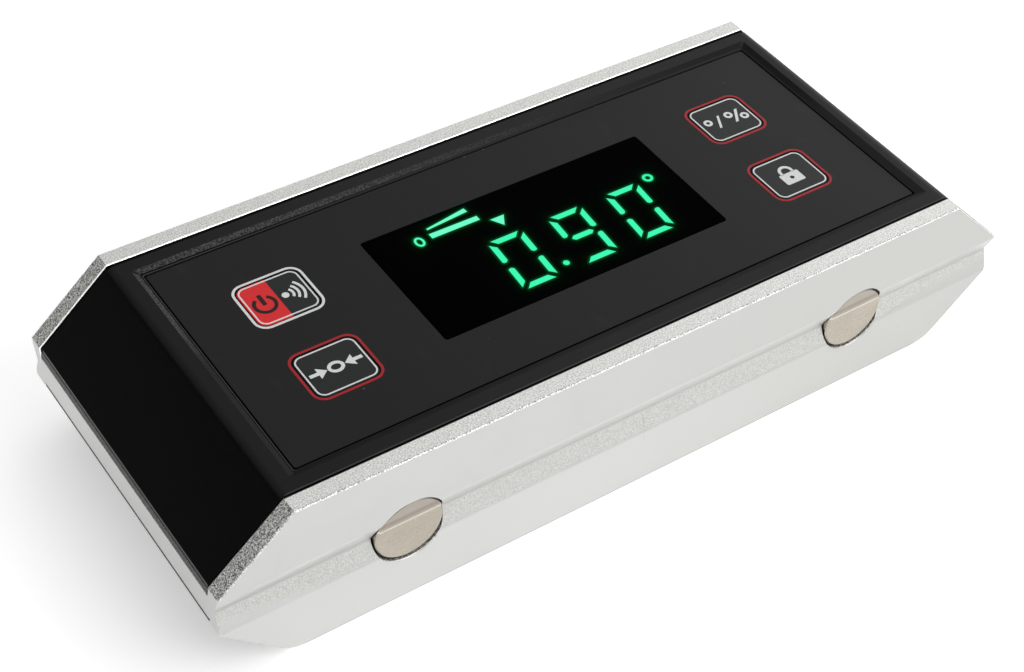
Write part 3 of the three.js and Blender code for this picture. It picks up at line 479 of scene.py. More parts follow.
def window_black():
    """Smoked acrylic: black, polished and lightly hazed, with the glow of the lit marks in it."""
    f = new_finish("smoked_acrylic")
    place = f.place()
    glow = f.node("ShaderNodeAttribute", {"attribute_name": "glow"}).output("Fac")
    haze = f.noise(place, 0.12, 3.0, 0.6)
    hairlines = f.noise(f.place((0.08, 2.4, 1)), 1.2, 3.0, 0.6).rise(0.68, 0.8)
    tone = f.mix(haze, tint(0, 0, 0), tint(1, 1, 1))
    light = f.mix(glow, (0, 0, 0, 1), tint(16, 200, 96))
    rough = 0.07 + haze * 0.05 + hairlines * 0.05
    relief = f.bump(haze + hairlines * 0.2, 0.004, 0.4)
    return f.surface(
        Base_Color=tone, Roughness=rough, Normal=relief, Specular_IOR_Level=0.005,
        Emission_Color=light, Emission_Strength=1.0,
    )


def lit_green():
    """A lit mark: bright mint in the middle and deeper green at its rim."""
    f = new_finish("lit_green")
    place = f.place()
    core = f.node("ShaderNodeAttribute", {"attribute_name": "core"}).output("Fac")
    ripple = f.noise(place, 0.9, 2.0)
    above_digits = f.parts(place)[1].rise(4.6, 4.7)
    light = f.mix(core.rise(0.0, 0.8), tint(18, 200, 118), tint(58, 248, 180))
    light = f.mix(core.rise(0.3, 0.9) * above_digits, light, tint(116, 252, 208))
    light = f.mix(ripple * 0.25, light, tint(44, 242, 166))
    return f.surface(
        Base_Color=(0.0, 0.02, 0.01, 1), Roughness=0.4, Specular_IOR_Level=0.1,
        Emission_Color=light, Emission_Strength=1.0,
    )


def board_green():
    """Solder mask over tracks, with plated holes."""
    f = new_finish("solder_mask")
    place = f.place()
    lane = f.noise(place, 0.12, 1.0).rise(0.4, 0.5)
    track = (f.parts(place)[1] * 5.2 + lane * 6.0).wave().rise(0.5, 0.7)
    holes = f.cells(place, 0.23)
    ring = (holes.output("Distance") * 4.3).fall(0.35, 0.42)
    tone = f.mix(track, tint(16, 74, 40), tint(30, 104, 58))
    tone = f.mix(ring, tone, tint(196, 190, 168))
    relief = f.bump(track * 0.6 + ring, 0.03, 0.8)
    rough = 0.32 - ring * 0.08
    return f.surface(Base_Color=tone, Roughness=rough, Metallic=ring * 0.9, Normal=relief)


def plain_moulding(name, dark, light, roughness, depth=0.01):
    """A small moulded part: two close tones, a fine skin and slight gloss changes."""
    f = new_finish(name)
    place = f.place()
    skin = f.noise(place, 3.0, 3.0, 0.6)
    broad = f.noise(place, 0.4, 2.0)
    tone = f.mix(broad * 0.6 + skin * 0.4, dark, light)
    return f.surface(
        Base_Color=tone, Roughness=roughness + skin * 0.12, Normal=f.bump(skin, depth, 0.8),
    )


def bright_metal(name, dark, light, roughness, stretch):
    """Drawn or turned metal: fine lines one way and a slightly stained tone."""
    f = new_finish(name)
    place = f.place()
    lines = f.noise(f.place(stretch), 4.0, 3.0, 0.6)
    stain = f.noise(place, 0.5, 3.0, 0.6)
    tone = f.mix(stain, dark, light)
    return f.surface(
        Base_Color=tone, Metallic=1.0, Roughness=roughness + lines * 0.16,
        Normal=f.bump(lines, 0.01, 0.6),
    )


def wound_copper():
    """Fine enamelled wire in close turns."""
    f = new_finish("wound_copper")
    turns = (f.parts(f.place())[2] * 22.0).wave()
    tone = f.mix(turns.rise(-0.6, 0.6), tint(120, 58, 30), tint(206, 128, 78))
    return f.surface(
        Base_Color=tone, Metallic=0.9, Roughness=0.3 + turns * 0.05,
        Normal=f.bump(turns, 0.05, 0.8),
    )


def cell_jacket(name, positive_end):
    """A printed sleeve: green, with a copper band towards the end that carries the nub."""
    f = new_finish(name)
    place = f.place()
    along = f.parts(place)[0] * positive_end
    band = along.rise(10.0, 10.2)
    wrinkles = f.noise(f.place((0.3, 1, 1)), 0.9, 3.0, 0.6)
    tone = f.layers(
        f.mix(wrinkles, tint(40, 96, 58), tint(52, 112, 68)),
        (band, tint(196, 134, 84)),
        (along.rise(8.6, 8.7) * along.fall(9.1, 9.2), tint(222, 222, 214)),
        (along.rise(18.9, 19.1), tint(198, 198, 196)),
    )
    return f.surface(
        Base_Color=tone, Metallic=0.25 + band * 0.4, Roughness=0.3 + wrinkles * 0.12,
        Normal=f.bump(wrinkles, 0.02, 0.6),
    )


def sleeved_wire(name, dark, light):
    """The drawn plastic sleeve of a thin wire."""
    f = new_finish(name)
    lines = f.noise(f.place((2, 2, 0.2)), 2.0, 2.0)
    tone = f.mix(lines, dark, light)
    return f.surface(Base_Color=tone, Roughness=0.36 + lines * 0.1, Normal=f.bump(lines, 0.01, 0.6))


# ---- Pieces ----

def as_piece(name, mesh, body, finish):
    """A mesh as a piece that rides on a body."""
    piece = bpy.data.objects.new(name, mesh)
    bpy.context.scene.collection.objects.link(piece)
    mesh.materials.clear()
    mesh.materials.append(finish)
    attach(piece, body)
    return piece


def from_shape(name, shape, body, finish):
    """A finished shape as a piece; the shape is used up."""
    mesh = bpy.data.meshes.new(name)
    shape.to_mesh(mesh)
    shape.free()
    return as_piece(name, mesh, body, finish)


def merged_copy(node):
    """The CAD solid of a node as one clean skin, with its flat faces whole again."""
    shape = bmesh.new()
    shape.from_mesh(nodes[node].data)
    bmesh.ops.remove_doubles(shape, verts=shape.verts, dist=0.002 * MM)
    bmesh.ops.dissolve_limit(
        shape, angle_limit=math.radians(0.6), verts=shape.verts, edges=shape.edges,
        use_dissolve_boundaries=False,
    )
    return shape


def softened(node, body, finish, ease):
    """A copy of a CAD solid with its sharp edges eased, which stands for that solid."""
    piece = from_shape("soft_" + node, merged_copy(node), body, finish)
    faces = piece.data.polygons
    faces.foreach_set("use_smooth", [True] * len(faces))
    bevel = piece.modifiers.new("eased_edges", "BEVEL")
    bevel.width = ease * MM
    bevel.segments = 2
    bevel.limit_method = "ANGLE"
    bevel.angle_limit = math.radians(25)
    flat = piece.modifiers.new("flat_faces", "WEIGHTED_NORMAL")
    flat.mode = "FACE_AREA"
    flat.weight = 100
    flat.keep_sharp = False
    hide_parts(node)


def dress(node, finish):
    """A CAD node whose shape is right gets its finish."""
    mesh = nodes[node].data
    mesh.materials.clear()
    mesh.materials.append(finish)


def circle(centre, radius, count, squeeze=1.0):
    """The outline of a circle, or of an oval that is squeezed in width."""
    angles = [math.tau * i / count for i in range(count)]
    wide = squeeze * radius
    return [(centre[0] + wide * math.cos(a), centre[1] + radius * math.sin(a)) for a in angles]


def band(centre, radius, stroke, start, end):
    """The outline of a bent stroke of even width."""
    count = 24
    angles = [math.radians(start + (end - start) * i / count) for i in range(count + 1)]
    outer = [(radius + stroke / 2, a) for a in angles]
    inner = [(radius - stroke / 2, a) for a in reversed(angles)]
    return [(centre[0] + r * math.cos(a), centre[1] + r * math.sin(a)) for r, a in outer + inner]


def round_box(centre, half, radius, steps=8):
    """The outline of a rectangle with round corners."""
    outline = []
    for quarter, (i, j) in enumerate([(1, 1), (-1, 1), (-1, -1), (1, -1)]):
        cx = centre[0] + i * (half[0] - radius)
        cy = centre[1] + j * (half[1] - radius)
        for step in range(steps + 1):
            angle = math.radians(90 * quarter + 90 * step / steps)
            outline.append((cx + radius * math.cos(angle), cy + radius * math.sin(angle)))
    return outline


def shifted(points, centre):
    """An outline, moved to its place."""
    return [(x + centre[0], y + centre[1]) for x, y in points]


def ring_at(shape, points, height):
    """Points of a shape at one height, from places in millimetres."""
    return [shape.verts.new((x * MM, y * MM, height * MM)) for x, y in points]


def wall(shape, first, second):
    """A closed strip of faces between two rings with as many points."""
    for i in range(len(first)):
        j = (i + 1) % len(first)
        shape.faces.new((first[i], first[j], second[j], second[i]))


def core_row(edges):
    """The line along the middle of a lit ring, or a rim's width within a lit mark with no hole."""
    if len(edges) > 1:
        return (edges[0] + edges[1]) / 2
    outer = edges[0]
    rim = 0.13
    inward = 0
    for near in (np.roll(outer, -1, axis=0), np.roll(outer, 1, axis=0)):
        inward = inward + (near - outer) / np.linalg.norm(near - outer, axis=1)[:, None]
    length = np.linalg.norm(inward, axis=1)[:, None]
    inward /= np.where(length < 1e-6, 1, length)
    side = np.sign(((outer.mean(axis=0) - outer) * inward).sum(axis=1))[:, None]
    return outer + inward * side * rim


def printed(name, marks, body, finish, top=PRINT_TOP, lit=False):
    """Thin flat marks: each is an outline, or an outline and a hole with as many points."""
    shape = bmesh.new()
    core = shape.verts.layers.float.new("core") if lit else None
    for outline, hole in marks:
        edges = [np.array(points) for points in (outline, hole) if points]
        rows = [edges[0], core_row(edges), *edges[1:]] if lit else edges
        tops = [ring_at(shape, row, top) for row in rows]
        feet = [ring_at(shape, edge, FILM_TOP) for edge in edges]
        if lit:
            for vertex in tops[1]:
                vertex[core] = 1.0
        for first, second in zip(tops, tops[1:]):
            wall(shape, first, second)
        wall(shape, tops[0], feet[0])
        if hole:
            wall(shape, tops[-1], feet[-1])
            wall(shape, *feet)
        else:
            shape.faces.new(tops[-1])
            shape.faces.new(feet[0])
    bmesh.ops.recalc_face_normals(shape, faces=shape.faces)
    from_shape(name, shape, body, finish)


# ---- Makers of pieces that repeat ----

class Maker(Sheet):
    """A tree that builds repeated pieces from named sizes."""

    def __init__(self, name, lengths, counts=()):
        tree = bpy.data.node_groups.new(name, "GeometryNodeTree")
        super().__init__(tree)
        tree.interface.new_socket("Geometry", in_out="OUTPUT", socket_type="NodeSocketGeometry")
        kinds = dict.fromkeys(lengths, "NodeSocketFloat") | dict.fromkeys(counts, "NodeSocketInt")
        kinds |= {"Middle": "NodeSocketVector", "Finish": "NodeSocketMaterial"}
        for label, kind in kinds.items():
            tree.interface.new_socket(label, in_out="INPUT", socket_type=kind)
        self.given = self.node("NodeGroupInput")

    def size(self, *labels):
        """The sockets of the maker's own sizes, by their labels."""
        found = [self.given.output(label) for label in labels]
        return found if len(found) > 1 else found[0]

    def moved(self, geometry, **sockets):
        return self.node("GeometryNodeTransform", {}, {"Geometry": geometry} | sockets)

    def joined(self, *geometry):
        return self.node("GeometryNodeJoinGeometry", {}, {"Geometry": list(geometry)})

    def tube(self, path, radius, sides):
        """A round bar along a path, closed at its ends."""
        sockets = {"Resolution": sides, "Radius": radius}
        ring = self.node("GeometryNodeCurvePrimitiveCircle", {}, sockets)
        sockets = {"Curve": path, "Profile Curve": ring, "Fill Caps": True}
        return self.node("GeometryNodeCurveToMesh", {}, sockets)

    def finished(self, geometry):
        """Ends the tree with one real mesh in its finish."""
        loose = self.node("GeometryNodeRealizeInstances", {}, {"Geometry": geometry})
        sockets = {"Geometry": loose, "Material": self.size("Finish")}
        painted = self.node("GeometryNodeSetMaterial", {}, sockets)
        self.node("NodeGroupOutput", {}, {"Geometry": painted})
        return self.tree


def screw_maker():
    """Rows of screws, heads down: a domed head with a cross slot, and a core with its thread."""
    m = Maker("screw_rows", [
        "Head radius", "Head height", "Shank radius", "Shank length", "Thread pitch",
        "Slot length", "Slot width", "Slot depth", "Spacing X", "Spacing Y",
    ], ["Count X", "Count Y", "Seed"])
    radius, height = m.size("Head radius", "Head height")
    sockets = {"Vertices": 48, "Side Segments": 8, "Radius": radius, "Depth": height}
    drum = m.node("GeometryNodeMeshCylinder", {}, sockets)
    drum = m.moved(drum, Translation=m.vector(z=height * 0.5))
    x, y, z = m.parts(m.node("GeometryNodeInputPosition"))
    round_over = (1 - z / (height * 0.55)).larger(0.0) ** 2 * -0.24
    offset = m.vector(x * round_over, y * round_over)
    head = m.node("GeometryNodeSetPosition", {}, {"Geometry": drum, "Offset": offset})
    slot_size = m.vector(m.size("Slot length"), m.size("Slot width"), m.size("Slot depth") * 2)
    slot = m.node("GeometryNodeMeshCube", {}, {"Size": slot_size})
    crossed = m.moved(slot, Rotation=(0, 0, math.pi / 2))
    head = m.node("GeometryNodeMeshBoolean", {}, {"Mesh 1": head, "Mesh 2": [slot, crossed]})
    outer, length, pitch = m.size("Shank radius", "Shank length", "Thread pitch")
    ridge = pitch * 0.3
    core = outer - ridge
    straight = length - outer
    sockets = {"Vertices": 32, "Radius": core, "Depth": straight}
    shank = m.node("GeometryNodeMeshCylinder", {}, sockets)
    shank = m.moved(shank, Translation=m.vector(z=height + straight * 0.5))
    sockets = {"Vertices": 32, "Radius Bottom": core, "Radius Top": core * 0.25, "Depth": outer}
    tip = m.node("GeometryNodeMeshCone", {}, sockets)
    tip = m.moved(tip, Translation=m.vector(z=height + straight))
    threaded = straight - pitch
    helix = m.node("GeometryNodeCurveSpiral", {}, {
        "Resolution": 24, "Rotations": threaded / pitch, "Start Radius": core,
        "End Radius": core, "Height": threaded,
    })
    thread = m.moved(m.tube(helix, ridge, 4), Translation=m.vector(z=height + pitch * 0.7))
    screw = m.joined(head, shank, tip, thread)
    across, along, columns, rows = m.size("Spacing X", "Spacing Y", "Count X", "Count Y")
    grid = m.node("GeometryNodeMeshGrid", {}, {
        "Size X": across * (columns - 1), "Size Y": along * (rows - 1),
        "Vertices X": columns, "Vertices Y": rows,
    })
    sockets = {3: math.tau, "Seed": m.size("Seed")}
    turn = m.node("FunctionNodeRandomValue", {"data_type": "FLOAT"}, sockets).output(1)
    row = m.node("GeometryNodeInstanceOnPoints", {}, {
        "Points": grid, "Instance": screw, "Rotation": m.vector(z=turn),
    })
    return m.finished(m.moved(row, Translation=m.size("Middle")))


def spring_maker():
    """A conical coil spring lying along X, its wide end towards the sign of Way."""
    lengths = ["Wire radius", "Wide radius", "Narrow radius", "Length", "Way"]
    m = Maker("coil_spring", lengths, ["Turns"])
    wire, wide, narrow, length, way = m.size(*lengths)
    helix = m.node("GeometryNodeCurveSpiral", {}, {
        "Resolution": 40, "Rotations": m.size("Turns"), "Start Radius": wide, "End Radius": narrow,
        "Height": length - wire * 2,
    })
    coil = m.moved(m.tube(helix, wire, 10), Translation=m.vector(z=(length * -0.5) + wire))
    laid = m.moved(coil, Rotation=m.vector(y=way * (-math.pi / 2)))
    return m.finished(m.moved(laid, Translation=m.size("Middle")))


def leg_maker():
    """Rows of bent tinned legs along two or four sides of a chip."""
    lengths = ["Body half", "Reach", "Leg width", "Leg height", "Pitch"]
    m = Maker("chip_legs", lengths, ["Legs", "Sides"])
    half, reach, width, tall, pitch = m.size(*lengths)
    flat = m.node("GeometryNodeMeshCube", {}, {"Size": m.vector(width, reach * 0.6, width * 0.6)})
    drop = m.node("GeometryNodeMeshCube", {}, {"Size": m.vector(width, width * 0.6, tall)})
    leg = m.joined(
        m.moved(flat, Translation=m.vector(y=half + reach * 0.2, z=tall)),
        m.moved(drop, Translation=m.vector(y=half + reach * 0.5, z=tall * 0.5)),
        m.moved(flat, Translation=m.vector(y=half + reach * 0.8, z=width * 0.3)),
    )
    line = m.node("GeometryNodeMeshLine", {}, {
        "Count": m.size("Legs"), "Start Location": m.vector(pitch * (m.size("Legs") - 1) * -0.5),
        "Offset": m.vector(pitch),
    })
    row = m.node("GeometryNodeInstanceOnPoints", {}, {"Points": line, "Instance": leg})
    around = m.node("GeometryNodeMeshLine", {}, {"Count": m.size("Sides"), "Offset": (0, 0, 0)})
    index = m.node("GeometryNodeInputIndex")
    turn = m.vector(z=index * (math.tau / m.size("Sides")))
    sockets = {"Points": around, "Instance": row, "Rotation": turn}
    chip = m.node("GeometryNodeInstanceOnPoints", {}, sockets)
    return m.finished(m.moved(chip, Translation=m.size("Middle")))


def made_by(tree, name, finish, place, sizes, counts, stands_for=()):
    """One plain mesh from a maker, with sizes in millimetres; it may stand for CAD nodes."""
    values = {label: size * MM for label, size in sizes.items()} | counts
    values |= {"Middle": [part * MM for part in place], "Finish": finish}
    blank = bpy.data.objects.new(name, bpy.data.meshes.new(name))
    bpy.context.scene.collection.objects.link(blank)
    maker = blank.modifiers.new("maker", "NODES")
    maker.node_group = tree
    for item in tree.interface.items_tree:
        if item.in_out == "INPUT":
            maker[item.identifier] = values[item.name]
    seen_by = bpy.context.evaluated_depsgraph_get()
    mesh = bpy.data.meshes.new_from_object(blank.evaluated_get(seen_by))
    bpy.data.objects.remove(blank)
    piece = as_piece(name, mesh, "gauge_body", finish)
    if stands_for:
        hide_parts(*stands_for)


def spread_of(names):
    """The middle of nodes that stand in rows, their foot, and their spacing along X and Y."""
    corners = [span(name) for name in names]
    middles = [(low + high) / 2 for low, high in corners]
    xs, ys = sorted({round(m.x, 3) for m in middles}), sorted({round(m.y, 3) for m in middles})
    foot = corners[0][0].z
    return (xs[0] + xs[-1]) / 2, (ys[0] + ys[-1]) / 2, foot, xs[1] - xs[0], ys[1] - ys[0]


def screw_rows(tree, name, names, sizes, columns, seed, finish):
    """Two rows of screws in the places of the CAD nodes that they stand for."""
    x, y, foot, across, along = spread_of(names)
    counts = {"Count X": columns, "Count Y": 2, "Seed": seed}
    sizes = sizes | {"Spacing X": across, "Spacing Y": along}
    made_by(tree, name, finish, (x, y, foot), sizes, counts, names)


# ---- Lit marks of the display ----

DIGIT_WIDTH = 6.62
DIGIT_HALF_HEIGHT = 5.95
DIGIT_MIDDLE = -3.2
DIGIT_LEFTS = [-9.66, 1.98, 13.45]
STROKE = 1.06
CORNER = 0.68
LEAN = 0.075
POINT_PLACE = (-0.9, -7.3)
DEGREE_PLACE = (22.95, 2.8)
NOUGHT_PLACE = (-18.2, 8.3)


def digit_strokes(lit, left):
    """The lit strokes of a seven-stroke digit, which leans a little to the right."""
    w, h, t, c = DIGIT_WIDTH, DIGIT_HALF_HEIGHT, STROKE, CORNER
    mitre, half, tip, foot = 0.92 * t, t / 2, 1.2, 0.72
    strokes = {
        "top": [(c, h), (w - c, h), (w - c - mitre, h - t), (c + mitre, h - t)],
        "upper_left": [
            (0, h - c), (t, h - c - mitre), (t, foot + 0.36),
            (0.68 * t, foot), (0.2 * t, foot), (0, foot + 0.23),
        ],
        "middle": [
            (tip, 0), (tip + half, half), (w - tip - half, half),
            (w - tip, 0), (w - tip - half, -half), (tip + half, -half),
        ],
    }
    strokes["bottom"] = [(u, -v) for u, v in reversed(strokes["top"])]
    strokes["lower_left"] = [(u, -v) for u, v in reversed(strokes["upper_left"])]
    strokes["upper_right"] = [(w - u, v) for u, v in reversed(strokes["upper_left"])]
    strokes["lower_right"] = [(w - u, -v) for u, v in strokes["upper_left"]]
    return [
        [(left + u + LEAN * v, DIGIT_MIDDLE + v) for u, v in strokes[name]] for name in lit
    ]


ALL_ROUND = ["top", "upper_left", "upper_right", "lower_left", "lower_right", "bottom"]
NINE = ["top", "upper_left", "upper_right", "middle", "lower_right", "bottom"]
lit_marks = [
    (stroke, None) for lit, left in zip((ALL_ROUND, NINE, ALL_ROUND), DIGIT_LEFTS)
    for stroke in digit_strokes(lit, left)
]
lit_marks += [
    (circle(POINT_PLACE, 0.56, 24), None),
    (circle(DEGREE_PLACE, 0.98, 32), circle(DEGREE_PLACE, 0.42, 32)),
    (circle(NOUGHT_PLACE, 1.15, 32, 0.76), circle(NOUGHT_PLACE, 0.66, 32, 0.62)),
    # Two bars that open towards the right, and a pointer beside them
    ([(-16.0, 8.0), (-6.95, 8.0), (-6.95, 9.05), (-16.0, 9.15)], None),
    ([(-15.6, 10.05), (-7.65, 10.65), (-7.75, 11.6), (-15.65, 10.42)], None),
    ([(-5.6, 7.15), (-4.25, 4.95), (-2.95, 7.15)], None),
]


def distance_to(marks, points):
    """How far each point lies from the nearest mark, and 0 inside it."""
    nearest = np.full(len(points), 1e9)
    for mark in marks:
        inside = np.zeros(len(points), bool)
        for loop in filter(None, mark):
            ends = np.array(loop)
            for a, b in zip(ends, np.roll(ends, -1, axis=0)):
                run = b - a
                share = np.clip(((points - a) @ run) / (run @ run), 0, 1)
                gap = np.linalg.norm(points - (a + share[:, None] * run), axis=1)
                nearest = np.minimum(nearest, gap)
                crosses = (a[1] > points[:, 1]) != (b[1] > points[:, 1])
                rise = run[1] if run[1] else 1e-9
                inside ^= crosses & (points[:, 0] < a[0] + (points[:, 1] - a[1]) * run[0] / rise)
        nearest = np.where(inside, 0, nearest)
    return nearest


def display_window(finish):
    """The smoked lens, with a fine grid on its face that carries the glow of the lit marks."""
    low, high = span("display_lens")
    columns, rows = 180, 82
    xs = np.linspace(low.x, high.x, columns + 1)
    ys = np.linspace(low.y, high.y, rows + 1)
    grid_x, grid_y = np.meshgrid(xs, ys)
    points = np.stack([grid_x.ravel(), grid_y.ravel()], axis=1)
    corner = 0.12
    for i, way_x in ((0, 1), (columns, -1)):
        for j, way_y in ((0, 1), (rows, -1)):
            points[j * (columns + 1) + i] += (way_x * corner, way_y * corner)
    gap = distance_to(lit_marks, points)
    halo, haze = 0.14 * np.exp(-(gap / 0.22) ** 2), 0.012 * np.exp(-gap / 0.8)
    glow = np.where(gap > 5, 0, halo + haze)
    shape = bmesh.new()
    layer = shape.verts.layers.float.new("glow")
    top = ring_at(shape, points, high.z)
    for vertex, value in zip(top, glow):
        vertex[layer] = float(value)
    lines = [top[j * (columns + 1):(j + 1) * (columns + 1)] for j in range(rows + 1)]
    for near, far in zip(lines, lines[1:]):
        for i in range(columns):
            shape.faces.new((near[i], near[i + 1], far[i + 1], far[i]))
    rim = lines[0] + [line[-1] for line in lines[1:-1]]
    rim += lines[-1][::-1] + [line[0] for line in lines[-2:0:-1]]
    foot = [shape.verts.new((v.co.x, v.co.y, low.z * MM)) for v in rim]
    wall(shape, foot, rim)
    shape.faces.new(foot[::-1])
    bmesh.ops.recalc_face_normals(shape, faces=shape.faces)
    piece = from_shape("display_window", shape, "gauge_body", finish)
    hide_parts("display_lens")


# ---- The gauge ----

aluminium = frame_aluminium()
housing = housing_plastic("black_housing", 0.03)
cover = housing_plastic("black_cover", 0.045)
nickel = magnet_nickel()
silver_ink = ink("silver_ink", tint(222, 224, 223), tint(206, 208, 208))
red_ink = ink("red_ink", tint(168, 24, 32), tint(146, 22, 32))
black_ink = ink("black_ink", tint(30, 14, 18), tint(22, 12, 16))
steel = bright_metal("plated_steel", tint(150, 150, 152), tint(186, 186, 188), 0.28, (1, 1, 0.2))
mould_black = plain_moulding("moulded_black", tint(20, 20, 21), tint(32, 32, 33), 0.42)
nylon = plain_moulding("white_nylon", tint(206, 202, 190), tint(224, 221, 210), 0.4)

# Solids with eased edges
softened("frame", "gauge_body", aluminium, 0.14)
softened("front_housing", "gauge_body", housing, 0.07)
softened("back_cover", "gauge_body", cover, 0.08)
softened("battery_door", "door", cover, 0.12)
for name in MAGNETS:
    softened(name, "gauge_body", nickel, 0.08)

# The film, the display and the keys
dress("key_overlay", overlay_film())
display_window(window_black())
printed("lit_marks", lit_marks, "gauge_body", lit_green(), LIT_TOP, lit=True)

plain_key = key_film("key_face")
power_key = key_film("power_key_face", KEY_CENTRES["power"])
for key, centre in KEY_CENTRES.items():
    body = key + "_button"
    softened(key + "_key", body, power_key if key == "power" else plain_key, 0.1)
    rim = silver_ink if key == "power" else red_ink
    ring, line = [[round_box(centre, *box) for box in boxes] for boxes in (KEY_RING, KEY_LINE)]
    printed(key + "_ring", [ring], "gauge_body", rim)
    printed(key + "_line", [line], body, silver_ink)

# The signs on the keys
power = KEY_CENTRES["power"]
sign = (power[0] - 2.45, power[1] - 0.35)
printed("power_sign", [
    (band(sign, 1.7, 0.6, 124, 416), None),
    (shifted([(-0.34, -0.1), (0.34, -0.1), (0.34, 2.3), (-0.34, 2.3)], sign), None),
], "power_button", black_ink)
source = (power[0] + 1.2, power[1] - 0.1)
printed("sound_sign", [
    (circle(source, 0.6, 28), None),
    *[(band(source, radius, 0.44, -41, 41), None) for radius in (1.3, 2.14, 3.05)],
], "power_button", silver_ink)

tare = KEY_CENTRES["tare"]
arrow = [
    (-4.45, -0.32), (-3.0, -0.32), (-3.0, -1.15), (-1.5, 0),
    (-3.0, 1.15), (-3.0, 0.32), (-4.45, 0.32),
]
printed("tare_sign", [
    (circle(tare, 1.15, 36, 1.2), circle(tare, 0.6, 36, 1.35)),
    (shifted(arrow, tare), None),
    (shifted([(-x, -y) for x, y in arrow], tare), None),
], "tare_button", silver_ink)

units = KEY_CENTRES["units"]
bar = [(-1.2, -1.45), (-0.6, -1.45), (1.2, 1.45), (0.6, 1.45)]
printed("units_sign", [
    *[[circle((units[0] + x, units[1] + y), radius, 30) for radius in (0.82, 0.34)]
      for x, y in ((-3.35, 0.62), (1.15, 0.72), (3.65, -0.72))],
    (shifted([(x * 0.8, y) for x, y in bar], (units[0] - 1.35, units[1])), None),
    (shifted(bar, (units[0] + 2.4, units[1])), None),
], "units_button", silver_ink)

freeze = KEY_CENTRES["freeze"]
printed("freeze_sign", [
    (round_box((freeze[0], freeze[1] - 0.75), (1.95, 1.3), 0.3, 6),
     circle((freeze[0], freeze[1] - 0.7), 0.4, 28)),
    (band((freeze[0], freeze[1] + 0.95), 1.12, 0.56, 0, 180), None),
    (shifted([(-1.4, 0.45), (-0.84, 0.45), (-0.84, 0.96), (-1.4, 0.96)], freeze), None),
    (shifted([(0.84, 0.45), (1.4, 0.45), (1.4, 0.96), (0.84, 0.96)], freeze), None),
], "freeze_button", silver_ink)

# What lies inside
dress("led_display", plain_moulding("display_block", tint(24, 24, 24), tint(36, 36, 36), 0.5))
dress("main_board", board_green())
dress("boost_coil", wound_copper())
for name in ["microcontroller", "tilt_sensor", "buzzer"]:
    dress(name, mould_black)
for name in ["smoothing_capacitor", "contact_minus", "contact_plus", "contact_bridge"]:
    dress(name, steel)
for key in KEY_CENTRES:
    dress(key + "_switch_body", mould_black)
    dress(key + "_switch_plunger", nylon)
screws = screw_maker()
screw_rows(screws, "housing_screws", [f"housing_screw_{i + 1}" for i in range(6)], {
    "Head radius": 2.3, "Head height": 1.8, "Shank radius": 1.2, "Shank length": 15,
    "Thread pitch": 0.7, "Slot length": 2.6, "Slot width": 0.7, "Slot depth": 0.8,
}, 3, 4, steel)
screw_rows(screws, "board_screws", [f"board_screw_{i + 1}" for i in range(4)], {
    "Head radius": 1.8, "Head height": 1.2, "Shank radius": 0.9, "Shank length": 5,
    "Thread pitch": 0.5, "Slot length": 2.1, "Slot width": 0.55, "Slot depth": 0.6,
}, 2, 9, steel)
springs = spring_maker()
for name, way in [("spring_minus", -1), ("spring_bridge", 1)]:
    low, high = span(name)
    sizes = {
        "Wire radius": 0.35, "Wide radius": (high.z - low.z) / 2 - 0.37, "Narrow radius": 2.1,
        "Length": high.x - low.x,
    }
    counts = {"Turns": 5, "Way": float(way)}
    made_by(springs, "coil_" + name, steel, (low + high) / 2, sizes, counts, [name])
legs = leg_maker()
for name, number, sides, pitch in [("microcontroller", 8, 4, 0.7), ("tilt_sensor", 4, 2, 1.0)]:
    low, high = span(name)
    sizes = {
        "Body half": (high.x - low.x) / 2 - 0.1, "Reach": 1.0, "Leg width": pitch * 0.42,
        "Leg height": 0.6, "Pitch": pitch,
    }
    place = (*middle(name), low.z - 0.1)
    made_by(legs, name + "_legs", steel, place, sizes, {"Legs": number, "Sides": sides})
for number, positive_end in ((1, 1), (2, -1)):
    jacket = cell_jacket(f"cell_sleeve_{number}", positive_end)
    softened(f"battery_cell_{number}", "gauge_body", jacket, 0.12)
dress("lead_minus", sleeved_wire("black_sleeve", tint(18, 18, 18), tint(30, 30, 30)))
dress("lead_plus", sleeved_wire("red_sleeve", tint(168, 26, 26), tint(190, 38, 36)))

# ---- Floor, light and camera ----

FLOOR_REACH = 3.0
FLOOR_DEPTH = -0.0003
FLOOR_LIFT = 0.46

floor_mesh = bpy.data.meshes.new("floor")
floor_mesh.from_pydata([
    (x * FLOOR_REACH, y * FLOOR_REACH, FLOOR_DEPTH) for x, y in ((-1, -1), (1, -1), (1, 1), (-1, 1))
], [], [(0, 1, 2, 3)])
floor = bpy.data.objects.new("floor", floor_mesh)
bpy.context.scene.collection.objects.link(floor)
paper = new_finish("white_paper")
rays = paper.node("ShaderNodeLightPath")
seen = rays.larger(rays.output("Is Glossy Ray")).larger(rays.output("Is Transmission Ray"))
matt = paper.node("ShaderNodeBsdfDiffuse", {}, {"Color": (0.82, 0.82, 0.82, 1)})
lift = paper.node("ShaderNodeEmission", {}, {"Color": (1, 1, 1, 1), "Strength": seen * FLOOR_LIFT})
both = paper.node("ShaderNodeAddShader", {}, {0: matt, 1: lift})
paper.node("ShaderNodeOutputMaterial", {}, {"Surface": both})
floor_mesh.materials.append(paper.owner)

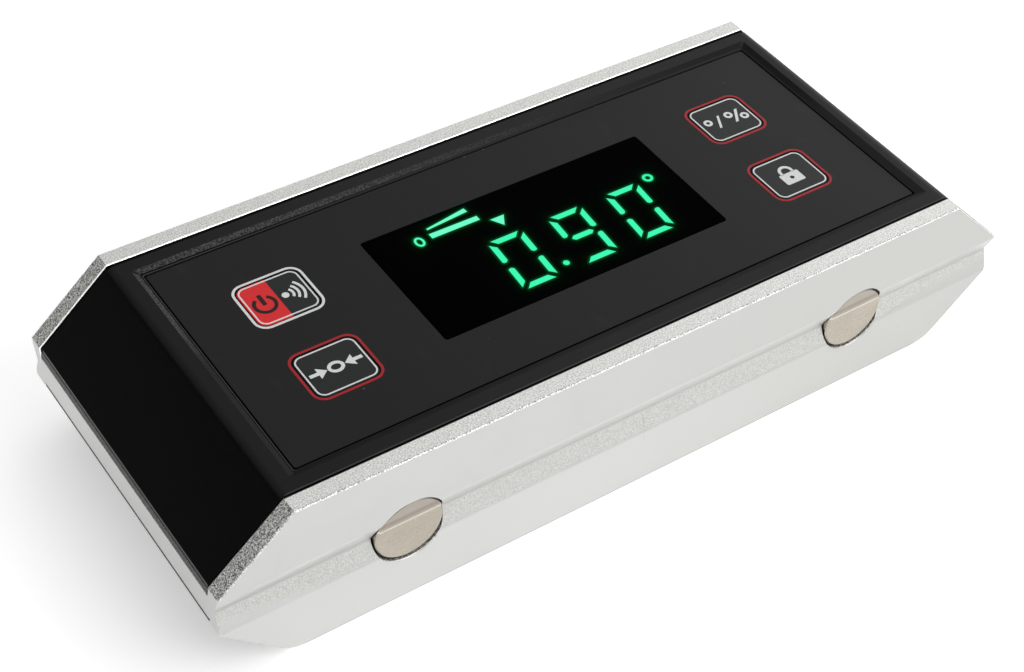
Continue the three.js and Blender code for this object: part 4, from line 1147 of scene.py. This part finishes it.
world = bpy.data.worlds.new("studio")
bpy.context.scene.world = world
sky = Finish(world)
rays = sky.node("ShaderNodeLightPath")
to_right, to_back, up = sky.parts(sky.node("ShaderNodeTexCoord").output("Generated"))
low_sweep = rays.output("Is Glossy Ray") * up.fall(0.03, 0.07) * to_back.fall(0.0, 0.3)
seen = rays.larger(low_sweep).larger(rays.output("Is Transmission Ray"))
towards_key = to_right * 0.6 + up * 0.8
low_front = up * 0.25 - to_right * 0.66 - to_back * 0.7
dome = 0.05 + towards_key.rise(0.1, 0.85) * 0.85 + low_front.rise(0.8, 0.95) * 1.2
sky.node("ShaderNodeOutputWorld", {}, {"Surface": sky.node(
    "ShaderNodeBackground", {}, {"Color": (1, 1, 1, 1), "Strength": seen.larger(dome)},
)})


def softbox(name, place, aim, size, power):
    """A rectangular lamp that looks at a point; sizes in metres, power in watts."""
    lamp = bpy.data.lights.new(name, "AREA")
    lamp.shape = "RECTANGLE"
    lamp.size, lamp.size_y = size
    lamp.energy = power
    light = bpy.data.objects.new(name, lamp)
    light.location = place
    light.rotation_euler = (Vector(aim) - Vector(place)).to_track_quat("-Z", "Y").to_euler()
    bpy.context.scene.collection.objects.link(light)


softbox("key", place=(0.27, -0.44, 0.5), aim=(0, 0, 0), size=(0.6, 0.4), power=1.9)
softbox("right", place=(0.8, 0.42, 0.36), aim=(0, 0, 0.015), size=(0.5, 0.4), power=0.8)

camera = bpy.data.cameras.new("camera")
camera.sensor_fit = "HORIZONTAL"
camera.sensor_width = 36
camera.lens = 67.146
# Eye, target and roll are those of the fit to the picture
eye = Vector((-144.923, -176.602, 231.098)) * MM
target = Vector((-8.2295, -4.6853, 15.5)) * MM
roll = math.radians(5.589)
ahead = (target - eye).normalized()
level = ahead.cross(Vector((0, 0, 1))).normalized()
above = level.cross(ahead)
right = math.cos(roll) * level + math.sin(roll) * above
up = -math.sin(roll) * level + math.cos(roll) * above
viewer = bpy.data.objects.new("camera", camera)
viewer.matrix_world = Matrix([
    (right.x, up.x, -ahead.x, eye.x),
    (right.y, up.y, -ahead.y, eye.y),
    (right.z, up.z, -ahead.z, eye.z),
    (0, 0, 0, 1),
])
bpy.context.scene.collection.objects.link(viewer)
bpy.context.scene.camera = viewer
bpy.context.scene.view_settings.view_transform = "Standard"
